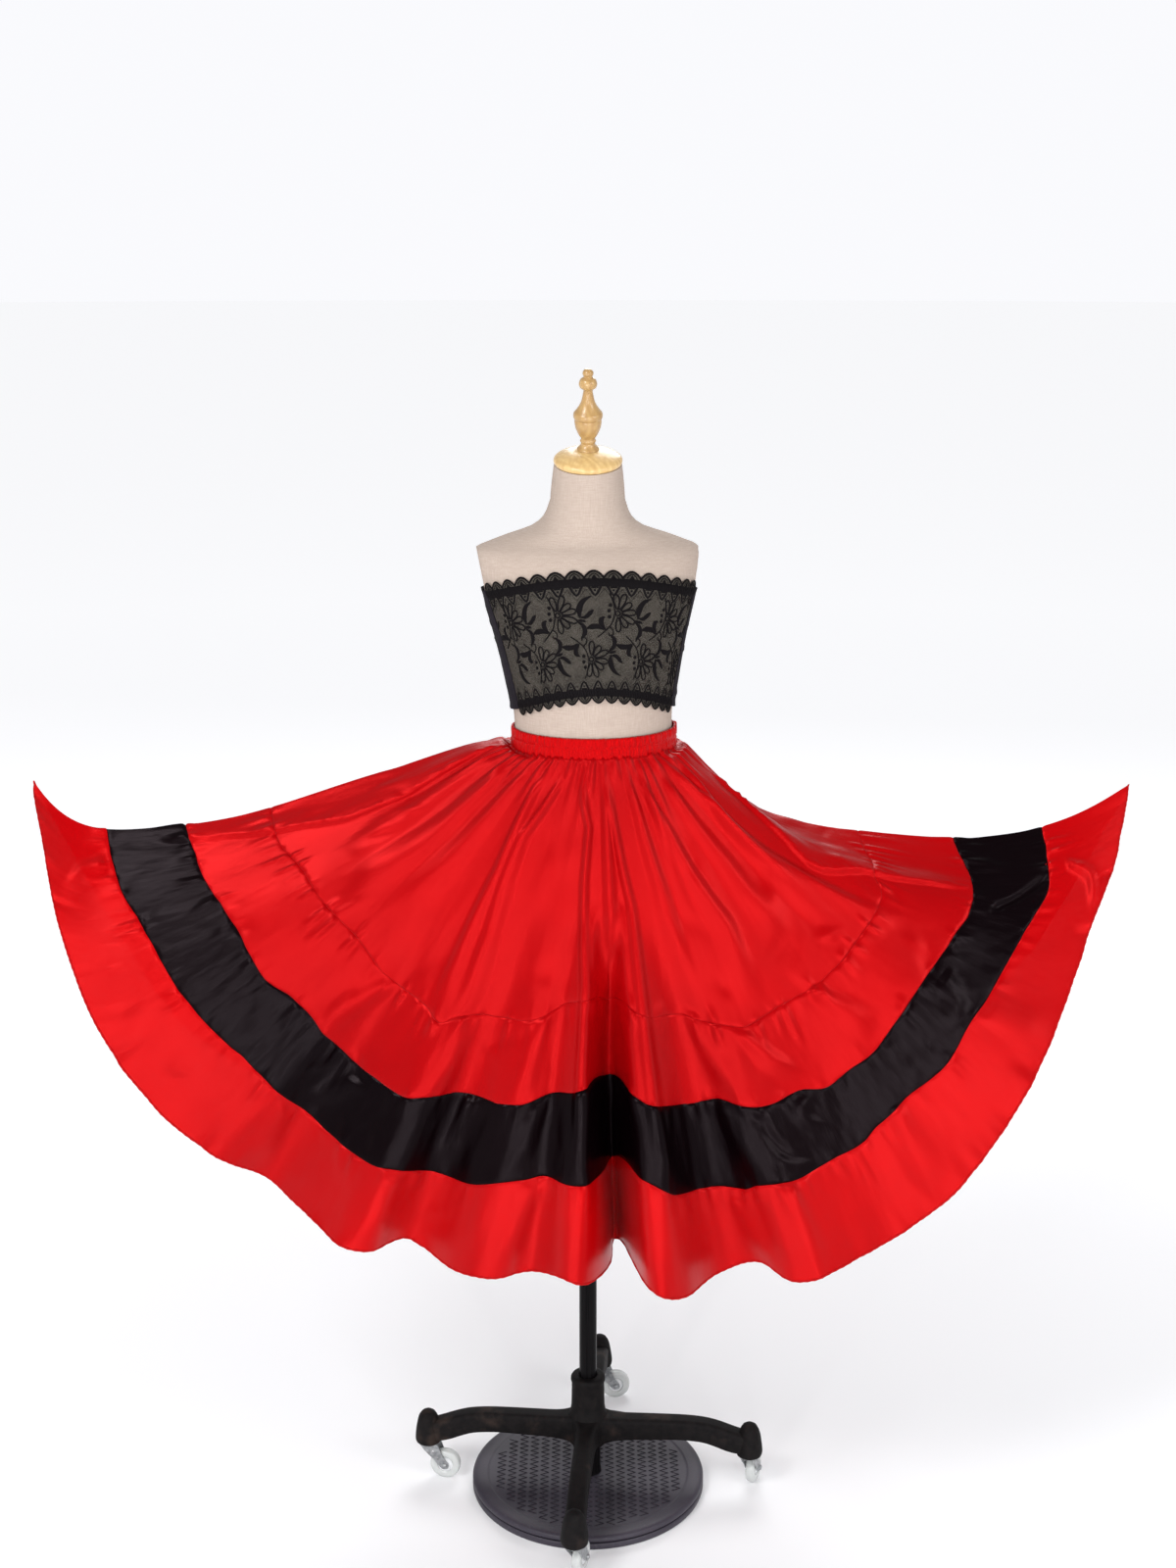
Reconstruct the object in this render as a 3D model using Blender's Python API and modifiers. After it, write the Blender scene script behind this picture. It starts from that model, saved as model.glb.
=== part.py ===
"""Two-piece flamenco outfit on a child's dress form.

A tiered satin skirt spread out to two side points and a lace tube top, on a limbless
torso with a turned neck cap.  The torso stands on a steel pole in a cast four-leg base
with swivel castors, over a round ballast plate.

Metres, +Z up, +X to the right, -Y towards the viewer.  The origin is on the floor, on the
pole's axis.  Run with: blender --background --python part.py
"""
import math

import bpy
from mathutils import Matrix, Vector

# ---------------------------------------------------------------- driving dimensions
GAP = 0.0003                 # clearance between pieces that meet
CLOTH = 0.0012               # thickness of satin and lace walls
FORM_TURN = math.radians(5)  # the torso and the garment's waist turn this far about Z
BASE_TURN = math.radians(-4.5)

PLATE_RADIUS = 0.149
PLATE_SPLIT = 0.0088         # height of the joint between the two ballast discs
PLATE_TOP = 0.018
POST_RADIUS = 0.016
HUB_RADIUS = 0.0218
HUB_BOTTOM = 0.060
HUB_TOP = 0.155
SOCKET_FLOOR = 0.105
POLE_RADIUS = 0.011
POLE_TOP = 0.7985
LEG_REACH = 0.2075           # from the pole's axis to a castor's swivel axis
LEG_WIDTH = 0.025
DOME_BOTTOM = 0.0500
STEM_RADIUS = 0.004
STEM_TOP = 0.068
WHEEL_RADIUS = 0.0195
WHEEL_WIDTH = 0.0120
AXLE_RADIUS = 0.0026
CASTOR_TRAIL = 0.022
FORK_PLATE = 0.0016
FORK_TOP = DOME_BOTTOM - GAP

FORM_BOTTOM = 0.800
NECK_TILT = math.radians(15)
NECK_TOP = 1.3130

WAISTBAND_BOTTOM = 0.982
WAISTBAND_HEIGHT = 0.026
WAISTBAND_WALL = 0.003
TORSO_LEAN = 0.030           # sideways shift for each metre below the shoulders
WAIST_HALF_WIDTH = 0.0975
WAIST_HALF_DEPTH = 0.0810

# lengths down the cloth of the skirt's four tiers
TIER_LENGTHS = {"tier_1": 0.290, "tier_2": 0.105, "band": 0.100, "flounce": 0.115}
SKIRT_LENGTH = sum(TIER_LENGTHS.values())

# Radial lines of the skirt, from the left point round the front and back again.
# around: degrees round the hem; fan: degrees below the left-hand horizontal at the hem;
# reach: hem's distance from the waist's centre in the XZ plane; forward: hem's distance
# towards the viewer; sag: drop of the line's middle; low: where along it the drop is deepest;
# spread: how far the cloth's middle is pushed out towards the hem
SPOKE_COLUMNS = ("around", "fan", "reach", "forward", "sag", "low", "spread")
SPOKES = [dict(zip(SPOKE_COLUMNS, row)) for row in (
    (0, 4.0, 0.658, 0.000, 0.066, 0.72, 0.18),
    (10, 12.0, 0.655, 0.045, 0.052, 0.72, 0.12),
    (20, 20.5, 0.656, 0.075, 0.024, 0.66, 0.05),
    (30, 29.5, 0.656, 0.105, 0.010, 0.60, 0.02),
    (45, 44.5, 0.645, 0.135, 0.000, 0.50, 0.04),
    (60, 58.5, 0.625, 0.165, 0.000, 0.50, 0.12),
    (75, 74.0, 0.595, 0.190, 0.000, 0.50, 0.06),
    (90, 90.0, 0.572, 0.210, 0.000, 0.50, 0.00),
    (105, 104.0, 0.597, 0.215, 0.000, 0.50, 0.05),
    (120, 118.0, 0.630, 0.210, 0.000, 0.50, 0.13),
    (135, 132.5, 0.643, 0.175, 0.005, 0.50, 0.19),
    (150, 149.0, 0.622, 0.125, 0.020, 0.50, 0.16),
    (160, 160.0, 0.618, 0.085, 0.042, 0.50, 0.08),
    (170, 169.0, 0.630, 0.045, 0.074, 0.50, -0.04),
    (180, 175.5, 0.640, 0.000, 0.085, 0.50, -0.12),
    (190, 168.0, 0.628, -0.030, 0.074, 0.50, -0.08),
    (205, 155.0, 0.615, -0.055, 0.030, 0.50, 0.00),
    (225, 135.0, 0.620, -0.090, 0.000, 0.50, 0.00),
    (250, 110.0, 0.615, -0.130, 0.000, 0.50, 0.00),
    (270, 90.0, 0.600, -0.155, 0.000, 0.50, 0.00),
    (290, 70.0, 0.615, -0.130, 0.000, 0.50, 0.00),
    (315, 45.0, 0.625, -0.090, 0.000, 0.50, 0.00),
    (335, 25.0, 0.632, -0.055, 0.020, 0.62, 0.04),
    (350, 12.5, 0.640, -0.030, 0.054, 0.72, 0.12),
    (360, 4.0, 0.658, 0.000, 0.066, 0.72, 0.18),
)]
SAG_FLATNESS = 3.0           # a higher power gives a flatter bottom to the sag

# Folds that run down the skirt. around: degrees round the hem; width: half-width in degrees;
# rise: outward rise at the hem, negative for a valley; start: fraction of the length where
# it begins
FOLDS = [
    {"around": 54, "width": 7.0, "rise": -0.035, "start": 0.35},
    {"around": 65, "width": 6.0, "rise": 0.034, "start": 0.30},
    {"around": 71, "width": 5.0, "rise": -0.022, "start": 0.45},
    {"around": 79, "width": 6.5, "rise": 0.030, "start": 0.20},
    {"around": 88, "width": 5.0, "rise": 0.042, "start": 0.28},
    {"around": 93, "width": 4.5, "rise": -0.105, "start": 0.30},
    {"around": 99, "width": 6.5, "rise": 0.050, "start": 0.28},
    {"around": 108, "width": 6.5, "rise": -0.030, "start": 0.30},
    {"around": 116, "width": 6.0, "rise": 0.020, "start": 0.40},
    {"around": 127, "width": 8.0, "rise": -0.012, "start": 0.40},
    {"around": 146, "width": 9.0, "rise": 0.012, "start": 0.40},
    {"around": 215, "width": 10.0, "rise": 0.030, "start": 0.25},
    {"around": 232, "width": 9.0, "rise": -0.025, "start": 0.30},
    {"around": 248, "width": 9.0, "rise": 0.035, "start": 0.20},
    {"around": 262, "width": 8.0, "rise": -0.030, "start": 0.20},
    {"around": 276, "width": 8.0, "rise": 0.040, "start": 0.15},
    {"around": 292, "width": 9.0, "rise": -0.025, "start": 0.25},
    {"around": 308, "width": 10.0, "rise": 0.030, "start": 0.25},
    {"around": 325, "width": 9.0, "rise": -0.015, "start": 0.35},
]

# Level sections of the torso. z: height; width, depth: half sizes; back: shift along +Y
TORSO = [
    {"z": 0.800, "width": 0.0830, "depth": 0.0640, "back": 0.000},
    {"z": 0.806, "width": 0.0900, "depth": 0.0700, "back": 0.000},
    {"z": 0.825, "width": 0.0960, "depth": 0.0755, "back": 0.001},
    {"z": 0.860, "width": 0.0985, "depth": 0.0785, "back": 0.002},
    {"z": 0.900, "width": 0.0970, "depth": 0.0780, "back": 0.001},
    {"z": 0.950, "width": 0.0935, "depth": 0.0765, "back": 0.000},
    {"z": 1.000, "width": 0.0925, "depth": 0.0760, "back": 0.000},
    {"z": 1.030, "width": 0.0935, "depth": 0.0770, "back": 0.000},
    {"z": 1.070, "width": 0.1000, "depth": 0.0810, "back": 0.001},
    {"z": 1.110, "width": 0.1080, "depth": 0.0850, "back": 0.002},
    {"z": 1.150, "width": 0.1182, "depth": 0.0850, "back": 0.004},
    {"z": 1.180, "width": 0.1265, "depth": 0.0795, "back": 0.006},
    {"z": 1.2055, "width": 0.1330, "depth": 0.0690, "back": 0.009},
    {"z": 1.2165, "width": 0.1300, "depth": 0.0610, "back": 0.010},
    {"z": 1.2225, "width": 0.1160, "depth": 0.0560, "back": 0.011},
    {"z": 1.2310, "width": 0.0930, "depth": 0.0520, "back": 0.011},
    {"z": 1.240, "width": 0.0660, "depth": 0.0490, "back": 0.010},
    {"z": 1.252, "width": 0.0510, "depth": 0.0465, "back": 0.008},
    {"z": 1.272, "width": 0.0430, "depth": 0.0430, "back": 0.005},
]
ARMHOLE_X = 0.1283           # the armhole facet's distance from the middle, at its top
ARMHOLE_TOP = 1.2165
ARMHOLE_LEAN = 0.155         # how much it leans in for each metre further down
NECK_RADIUS = 0.0388

BANDEAU_EASE = 0.0022        # room between torso and lace
BANDEAU_TOP_FRONT = 1.192
BANDEAU_TOP_SIDE = 1.169
BANDEAU_BOTTOM_FRONT = 1.058
BANDEAU_BOTTOM_SIDE = 1.030
LACE_SEAM_TOP = math.radians(72)
LACE_SEAM_BOTTOM = math.radians(65)
SCALLOPS = 15
SCALLOP_DEPTH = 0.0075

COLOURS = {
    "satin_red": {"colour": (0.72, 0.008, 0.010), "roughness": 0.38, "metallic": 0.0},
    "satin_black": {"colour": (0.012, 0.010, 0.011), "roughness": 0.40, "metallic": 0.0},
    "lace_black": {"colour": (0.030, 0.027, 0.026), "roughness": 0.75, "metallic": 0.0},
    "knit_black": {"colour": (0.014, 0.011, 0.015), "roughness": 0.85, "metallic": 0.0},
    "linen": {"colour": (0.740, 0.640, 0.560), "roughness": 0.90, "metallic": 0.0},
    "pale_wood": {"colour": (0.720, 0.480, 0.220), "roughness": 0.35, "metallic": 0.0},
    "black_steel": {"colour": (0.015, 0.014, 0.015), "roughness": 0.35, "metallic": 0.6},
    "cast_iron": {"colour": (0.022, 0.018, 0.017), "roughness": 0.65, "metallic": 0.2},
    "ballast": {"colour": (0.035, 0.032, 0.045), "roughness": 0.55, "metallic": 0.0},
    "zinc": {"colour": (0.600, 0.610, 0.620), "roughness": 0.35, "metallic": 1.0},
    "clear_plastic": {"colour": (0.850, 0.870, 0.880), "roughness": 0.15, "metallic": 0.0},
}

for old in list(bpy.data.objects):
    bpy.data.objects.remove(old)

parts = bpy.data.collections.new("flamenco_outfit_on_form")
shapers = bpy.data.collections.new("shapers")
bpy.context.scene.collection.children.link(parts)
bpy.context.scene.collection.children.link(shapers)


# ---------------------------------------------------------------- helpers
def material(name):
    """The Principled material of this name, made once."""
    found = bpy.data.materials.get(name)
    if found:
        return found
    look = COLOURS[name]
    made = bpy.data.materials.new(name)
    made.use_nodes = True
    shader = made.node_tree.nodes["Principled BSDF"]
    shader.inputs["Base Color"].default_value = (*look["colour"], 1.0)
    shader.inputs["Roughness"].default_value = look["roughness"]
    shader.inputs["Metallic"].default_value = look["metallic"]
    return made


def add_object(name, mesh, finish, shaper=False):
    """Link a mesh as a named part, or as a hidden shape that a Boolean uses."""
    made = bpy.data.objects.new(name, mesh)
    if shaper:
        made.hide_render = True
        made.display_type = "WIRE"
        shapers.objects.link(made)
    else:
        mesh.materials.append(material(finish))
        parts.objects.link(made)
    return made


def smooth(made, angle=35.0):
    made.data.shade_smooth()
    made.data.set_sharp_from_angle(angle=math.radians(angle))
    return made


def turned(name, profile, finish, steps=24, shaper=False):
    """A turned piece: the profile is (radius, height), outer side top to bottom."""
    mesh = bpy.data.meshes.new(name)
    points = [(radius, 0.0, height) for radius, height in profile]
    edges = [(i, i + 1) for i in range(len(points) - 1)]
    mesh.from_pydata(points, edges, [])
    made = add_object(name, mesh, finish, shaper)
    screw = made.modifiers.new("turn", "SCREW")
    screw.axis = "Z"
    screw.steps = steps
    screw.render_steps = steps
    screw.use_merge_vertices = True
    screw.merge_threshold = 0.00001
    screw.use_smooth_shade = True
    return made


def outline_solid(name, outline, half_thickness, finish, shaper=False):
    """A flat outline in the local XY plane, extruded both ways along local Z."""
    curve = bpy.data.curves.new(name + "_outline", "CURVE")
    curve.dimensions = "2D"
    curve.fill_mode = "BOTH"
    curve.extrude = half_thickness
    spline = curve.splines.new("POLY")
    spline.points.add(len(outline) - 1)
    for point, (x, y) in zip(spline.points, outline):
        point.co = (x, y, 0.0, 1.0)
    spline.use_cyclic_u = True
    drawn = bpy.data.objects.new(name + "_outline", curve)
    shapers.objects.link(drawn)
    bpy.context.view_layer.update()
    evaluated = drawn.evaluated_get(bpy.context.evaluated_depsgraph_get())
    mesh = bpy.data.meshes.new_from_object(evaluated)
    bpy.data.objects.remove(drawn)
    mesh.materials.clear()
    made = add_object(name, mesh, finish, shaper)
    weld = made.modifiers.new("weld", "WELD")
    weld.merge_threshold = 0.00001
    return made


def boolean(target, other, operation):
    cut = target.modifiers.new(operation.lower(), "BOOLEAN")
    cut.operation = operation
    cut.object = other
    cut.solver = "EXACT"


def cloth_wall(name, rows, finish, thickness=CLOTH, ring=False):
    """An open surface through rows of points, thickened outwards with Solidify."""
    across = len(rows[0])
    points = [point for row in rows for point in row]
    faces = []
    spans = across if ring else across - 1
    for down in range(len(rows) - 1):
        for side in range(spans):
            here = down * across + side
            beside = down * across + (side + 1) % across
            faces.append((here, here + across, beside + across, beside))
    mesh = bpy.data.meshes.new(name)
    mesh.from_pydata(points, [], faces)
    made = add_object(name, mesh, finish)
    wall = made.modifiers.new("wall", "SOLIDIFY")
    wall.thickness = thickness
    wall.offset = 1.0
    smooth(made, 60.0)
    return made


def blend_rows(table, key, value, column):
    """Smooth value of a column between a table's rows, by cubic Hermite pieces."""
    last = len(table) - 1
    index = 0
    while index < last - 1 and table[index + 1][key] < value:
        index += 1

    def slope(row):
        if row == 0 or row == last:
            near = max(min(row, last - 1), 0)
            rise = table[near + 1][column] - table[near][column]
            return rise / (table[near + 1][key] - table[near][key])
        rise = table[row + 1][column] - table[row - 1][column]
        return rise / (table[row + 1][key] - table[row - 1][key])

    low, high = table[index], table[index + 1]
    span = high[key] - low[key]
    t = min(max((value - low[key]) / span, 0.0), 1.0)
    start = low[column] * (2 * t**3 - 3 * t**2 + 1) + slope(index) * span * (t**3 - 2 * t**2 + t)
    end = high[column] * (3 * t**2 - 2 * t**3) + slope(index + 1) * span * (t**3 - t**2)
    return start + end


def form_lean(height):
    """The torso stands a little askew: its shift along +X at this height."""
    return TORSO_LEAN * max(ARMHOLE_TOP - height, 0.0)


# ---------------------------------------------------------------- skirt
FRONT_SPOKES = [row for row in SPOKES if row["around"] <= 180]
BACK_SPOKES = [row for row in SPOKES if row["around"] >= 180]


def waist_point(around):
    """Where a radial line leaves the waistband's lower edge."""
    angle = math.radians(around)
    point = Vector((-WAIST_HALF_WIDTH * math.cos(angle), -WAIST_HALF_DEPTH * math.sin(angle), 0.0))
    point.rotate(Matrix.Rotation(FORM_TURN, 3, "Z"))
    point.x += form_lean(WAISTBAND_BOTTOM)
    point.z = WAISTBAND_BOTTOM - GAP - CLOTH * abs(math.cos(angle))
    return point


def fold_rise(around, down):
    """Outward rise of the folds at this place; down runs from 0 at the waist to 1."""
    total = 0.0
    for fold in FOLDS:
        across = (around - fold["around"]) / fold["width"]
        if abs(across) >= 1.0 or down <= fold["start"]:
            continue
        growth = (down - fold["start"]) / (1.0 - fold["start"])
        total += fold["rise"] * growth * math.cos(0.5 * math.pi * across) ** 2
    return total


def skirt_point(around, down, front):
    """A point of the skirt's inner face."""
    table = FRONT_SPOKES if front else BACK_SPOKES
    fan = math.radians(blend_rows(table, "around", around, "fan"))
    reach = blend_rows(table, "around", around, "reach")
    forward = blend_rows(table, "around", around, "forward")
    sag = max(blend_rows(table, "around", around, "sag"), 0.0)
    low = blend_rows(table, "around", around, "low")
    spread = blend_rows(table, "around", around, "spread")
    hem = Vector((-reach * math.cos(fan), -forward, WAISTBAND_BOTTOM - reach * math.sin(fan)))
    point = waist_point(around).lerp(hem, down + spread * down * (1.0 - down))
    skewed = down ** (math.log(0.5) / math.log(low))
    point.z -= sag * (1.0 - abs(2.0 * skewed - 1.0) ** SAG_FLATNESS)
    outward = -1.0 if front else 1.0
    point.y += outward * fold_rise(around, down)
    return point


def skirt_panel(tier, number, front, columns, rows, finish):
    """One tier's front or back panel, between the two side seams."""
    above = sum(list(TIER_LENGTHS.values())[:number])
    below = above + TIER_LENGTHS[tier]
    top = (above + (GAP / 2 if number else 0.0)) / SKIRT_LENGTH
    bottom = (below - (GAP / 2 if number < 3 else 0.0)) / SKIRT_LENGTH
    first = 0.0 if front else 180.0
    side_shift = -GAP if front else GAP
    grid = []
    for row in range(rows + 1):
        down = top + (bottom - top) * row / rows
        line = []
        for column in range(columns + 1):
            around = first + 180.0 * column / columns
            point = skirt_point(around, down, front)
            if column in (0, columns):
                point.y += side_shift / 2
            line.append(point)
        grid.append(line)
    place = "front" if front else "back"
    return cloth_wall(f"skirt_{tier}_{place}", grid, finish)


SKIRT_PANELS = [
    {"tier": "tier_1", "rows": 5, "finish": "satin_red"},
    {"tier": "tier_2", "rows": 2, "finish": "satin_red"},
    {"tier": "band", "rows": 2, "finish": "satin_black"},
    {"tier": "flounce", "rows": 3, "finish": "satin_red"},
]


def make_skirt():
    for number, panel in enumerate(SKIRT_PANELS):
        for front, columns in ((True, 60), (False, 45)):
            skirt_panel(panel["tier"], number, front, columns, panel["rows"], panel["finish"])


def make_waistband():
    rows = []
    for height in (WAISTBAND_HEIGHT, WAISTBAND_HEIGHT / 2, 0.0):
        row = []
        for step in range(56):
            angle = 2 * math.pi * step / 56
            x = (WAIST_HALF_WIDTH - WAISTBAND_WALL) * math.cos(angle)
            y = (WAIST_HALF_DEPTH - WAISTBAND_WALL) * math.sin(angle)
            point = Vector((x, y, WAISTBAND_BOTTOM + height))
            point.rotate(Matrix.Rotation(FORM_TURN, 3, "Z"))
            point.x += form_lean(WAISTBAND_BOTTOM)
            row.append(point)
        rows.append(row)
    cloth_wall("skirt_waistband", rows, "satin_red", WAISTBAND_WALL, ring=True)


# ---------------------------------------------------------------- dress form
def torso_point(angle, height, ease=0.0):
    """A point on the torso; the angle runs from the form's front towards +X."""
    width = blend_rows(TORSO, "z", height, "width") + ease
    depth = blend_rows(TORSO, "z", height, "depth") + ease
    facet = ARMHOLE_X - ARMHOLE_LEAN * (ARMHOLE_TOP - height) + ease
    x = max(min(width * math.sin(angle), facet), -facet)
    y = -depth * math.cos(angle) + blend_rows(TORSO, "z", height, "back")
    point = Vector((x, y, height))
    point.rotate(Matrix.Rotation(FORM_TURN, 3, "Z"))
    point.x += form_lean(height)
    return point


def neck_frame():
    """The slanted plane of the neck's top: its centre, tilted towards the front."""
    return Matrix.Translation((0.0, 0.0, NECK_TOP)) @ Matrix.Rotation(NECK_TILT, 4, "X")


def make_torso(sides=36):
    rings = []
    heights = [row["z"] for row in TORSO]
    for height in heights:
        rings.append([torso_point(2 * math.pi * i / sides, height) for i in range(sides)])
    for share in (0.5, 1.0):
        ring = []
        for i in range(sides):
            angle = 2 * math.pi * i / sides
            radius = NECK_RADIUS + 0.002 * (1.0 - share)
            flat = Vector((radius * math.sin(angle), -radius * math.cos(angle), -GAP))
            top = neck_frame() @ flat
            ring.append(rings[len(heights) - 1][i].lerp(top, share))
        rings.append(ring)
    points = [point for ring in rings for point in ring]
    faces = [tuple(range(sides - 1, -1, -1))]
    for level in range(len(rings) - 1):
        for i in range(sides):
            here = level * sides + i
            beside = level * sides + (i + 1) % sides
            faces.append((here, beside, beside + sides, here + sides))
    top_start = (len(rings) - 1) * sides
    faces.append(tuple(range(top_start, top_start + sides)))
    mesh = bpy.data.meshes.new("form_torso")
    mesh.from_pydata(points, [], faces)
    smooth(add_object("form_torso", mesh, "linen"), 40.0)


def make_neck_cap():
    """The wooden disc on the neck and the finial that stands on it."""
    disc = [
        (0.0, 0.0165), (0.0110, 0.0165), (0.0150, 0.0155), (0.0230, 0.0138), (0.0310, 0.0110),
        (0.0365, 0.0080), (0.0390, 0.0055), (0.0395, 0.0030), (0.0385, 0.0006), (0.0375, 0.0),
        (0.0, 0.0),
    ]
    finial = [
        (0.0, 0.1110), (0.0035, 0.1104), (0.0058, 0.1078), (0.0062, 0.1050), (0.0050, 0.1015),
        (0.0085, 0.0990), (0.0104, 0.0940), (0.0090, 0.0893), (0.0055, 0.0868), (0.0062, 0.0800),
        (0.0085, 0.0715), (0.0130, 0.0640), (0.0162, 0.0600), (0.0168, 0.0565), (0.0160, 0.0535),
        (0.0150, 0.0525), (0.0155, 0.0500), (0.0145, 0.0430), (0.0112, 0.0350), (0.0080, 0.0300),
        (0.0092, 0.0270), (0.0080, 0.0240), (0.0098, 0.0205), (0.0125, 0.0180), (0.0128, 0.0168),
        (0.0, 0.0168),
    ]
    for name, profile, steps in (("neck_cap", disc, 24), ("finial", finial, 16)):
        turned(name, profile, "pale_wood", steps).matrix_world = neck_frame()


# ---------------------------------------------------------------- lace tube top
def bandeau_height(angle, share):
    """Height of the tube top's wall; share runs from 0 at its lower edge to 1."""
    front = max(math.cos(angle), 0.0) ** 2
    low = BANDEAU_BOTTOM_SIDE + (BANDEAU_BOTTOM_FRONT - BANDEAU_BOTTOM_SIDE) * front
    high = BANDEAU_TOP_SIDE + (BANDEAU_TOP_FRONT - BANDEAU_TOP_SIDE) * front
    return low + (high - low) * share


def make_bandeau():
    """The scalloped lace front and the plain back that joins it at the side seams."""
    columns = SCALLOPS * 4
    shares = (1.0, 0.90, 0.76, 0.40, 0.0)
    seam_gap = GAP / (2 * 0.115)
    lace = []
    back = []
    for share in shares:
        seam = LACE_SEAM_BOTTOM + (LACE_SEAM_TOP - LACE_SEAM_BOTTOM) * share
        edge = {1.0: 1.0, 0.0: -1.0}.get(share, 0.0)
        row = []
        for column in range(columns + 1):
            angle = -seam + seam_gap + 2 * (seam - seam_gap) * column / columns
            lobe = SCALLOP_DEPTH * abs(math.sin(math.pi * SCALLOPS * column / columns))
            row.append(torso_point(angle, bandeau_height(angle, share) + edge * lobe, BANDEAU_EASE))
        lace.append(row)
        row = []
        for column in range(33):
            angle = seam + seam_gap + 2 * (math.pi - seam - seam_gap) * column / 32
            row.append(torso_point(angle, bandeau_height(angle, share), BANDEAU_EASE))
        back.append(row)
    cloth_wall("bandeau_lace_front", lace, "lace_black")
    cloth_wall("bandeau_back", back, "knit_black")


# ---------------------------------------------------------------- stand
def make_base():
    """The cast base: hub, four arched legs and the domes that hold the castors."""
    hub = turned("base_casting", [
        (0.0, HUB_TOP), (HUB_RADIUS - 0.003, HUB_TOP), (HUB_RADIUS, HUB_TOP - 0.004), (HUB_RADIUS, 0.106),
        (HUB_RADIUS + 0.004, 0.098), (HUB_RADIUS + 0.004, HUB_BOTTOM + 0.004),
        (HUB_RADIUS, HUB_BOTTOM), (0.0, HUB_BOTTOM),
    ], "cast_iron")
    bore = turned("hub_bore", [
        (0.0, HUB_TOP + 0.01), (POLE_RADIUS + GAP, HUB_TOP + 0.01),
        (POLE_RADIUS + GAP, SOCKET_FLOOR), (0.0, SOCKET_FLOOR),
    ], None, shaper=True)
    side = [
        (0.016, 0.0972), (0.060, 0.0980), (0.115, 0.0985), (0.140, 0.0980), (0.160, 0.0950),
        (0.180, 0.0880), (0.199, 0.0810), (0.199, 0.0560), (0.184, 0.0570), (0.168, 0.0625),
        (0.148, 0.0700), (0.125, 0.0720), (0.080, 0.0705), (0.045, 0.0685), (0.016, 0.0675),
    ]
    dome_profile = [
        (0.0, 0.0950), (0.0060, 0.0935), (0.0105, 0.0895), (0.0135, 0.0810), (0.0155, 0.0700),
        (0.0170, 0.0590), (0.0168, 0.0530), (0.0148, DOME_BOTTOM), (0.0, DOME_BOTTOM),
    ]
    for name, turn in castor_turns():
        place = Matrix.Rotation(turn, 4, "Z")
        leg = outline_solid("leg_" + name, side, LEG_WIDTH / 2, None, shaper=True)
        leg.matrix_world = place @ Matrix.Rotation(math.pi / 2, 4, "X")
        bevel = leg.modifiers.new("round", "BEVEL")
        bevel.width = 0.005
        bevel.segments = 1
        bevel.limit_method = "ANGLE"
        bevel.angle_limit = math.radians(60)
        boolean(hub, leg, "UNION")
        dome = turned("dome_" + name, dome_profile, None, steps=14, shaper=True)
        dome.matrix_world = place @ Matrix.Translation((LEG_REACH, 0.0, 0.0))
        boolean(hub, dome, "UNION")
    boolean(hub, bore, "DIFFERENCE")
    for name, turn in castor_turns():
        stem_bore = turned("stem_bore_" + name, [
            (0.0, STEM_TOP + GAP), (STEM_RADIUS + GAP, STEM_TOP + GAP),
            (STEM_RADIUS + GAP, 0.030), (0.0, 0.030),
        ], None, steps=16, shaper=True)
        stem_bore.matrix_world = castor_frame(turn)
        boolean(hub, stem_bore, "DIFFERENCE")


def castor_turns():
    """The four legs: name and direction round Z."""
    directions = (("right", 0.0), ("back", 0.5 * math.pi), ("left", math.pi), ("front", 1.5 * math.pi))
    return [(name, angle + BASE_TURN) for name, angle in directions]


def castor_frame(turn):
    return Matrix.Rotation(turn, 4, "Z") @ Matrix.Translation((LEG_REACH, 0.0, 0.0))


# which way each castor trails at rest, in degrees from +X
CASTOR_TRAILS = {"right": 70.0, "back": 4.0, "left": -8.0, "front": 70.0}


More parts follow.
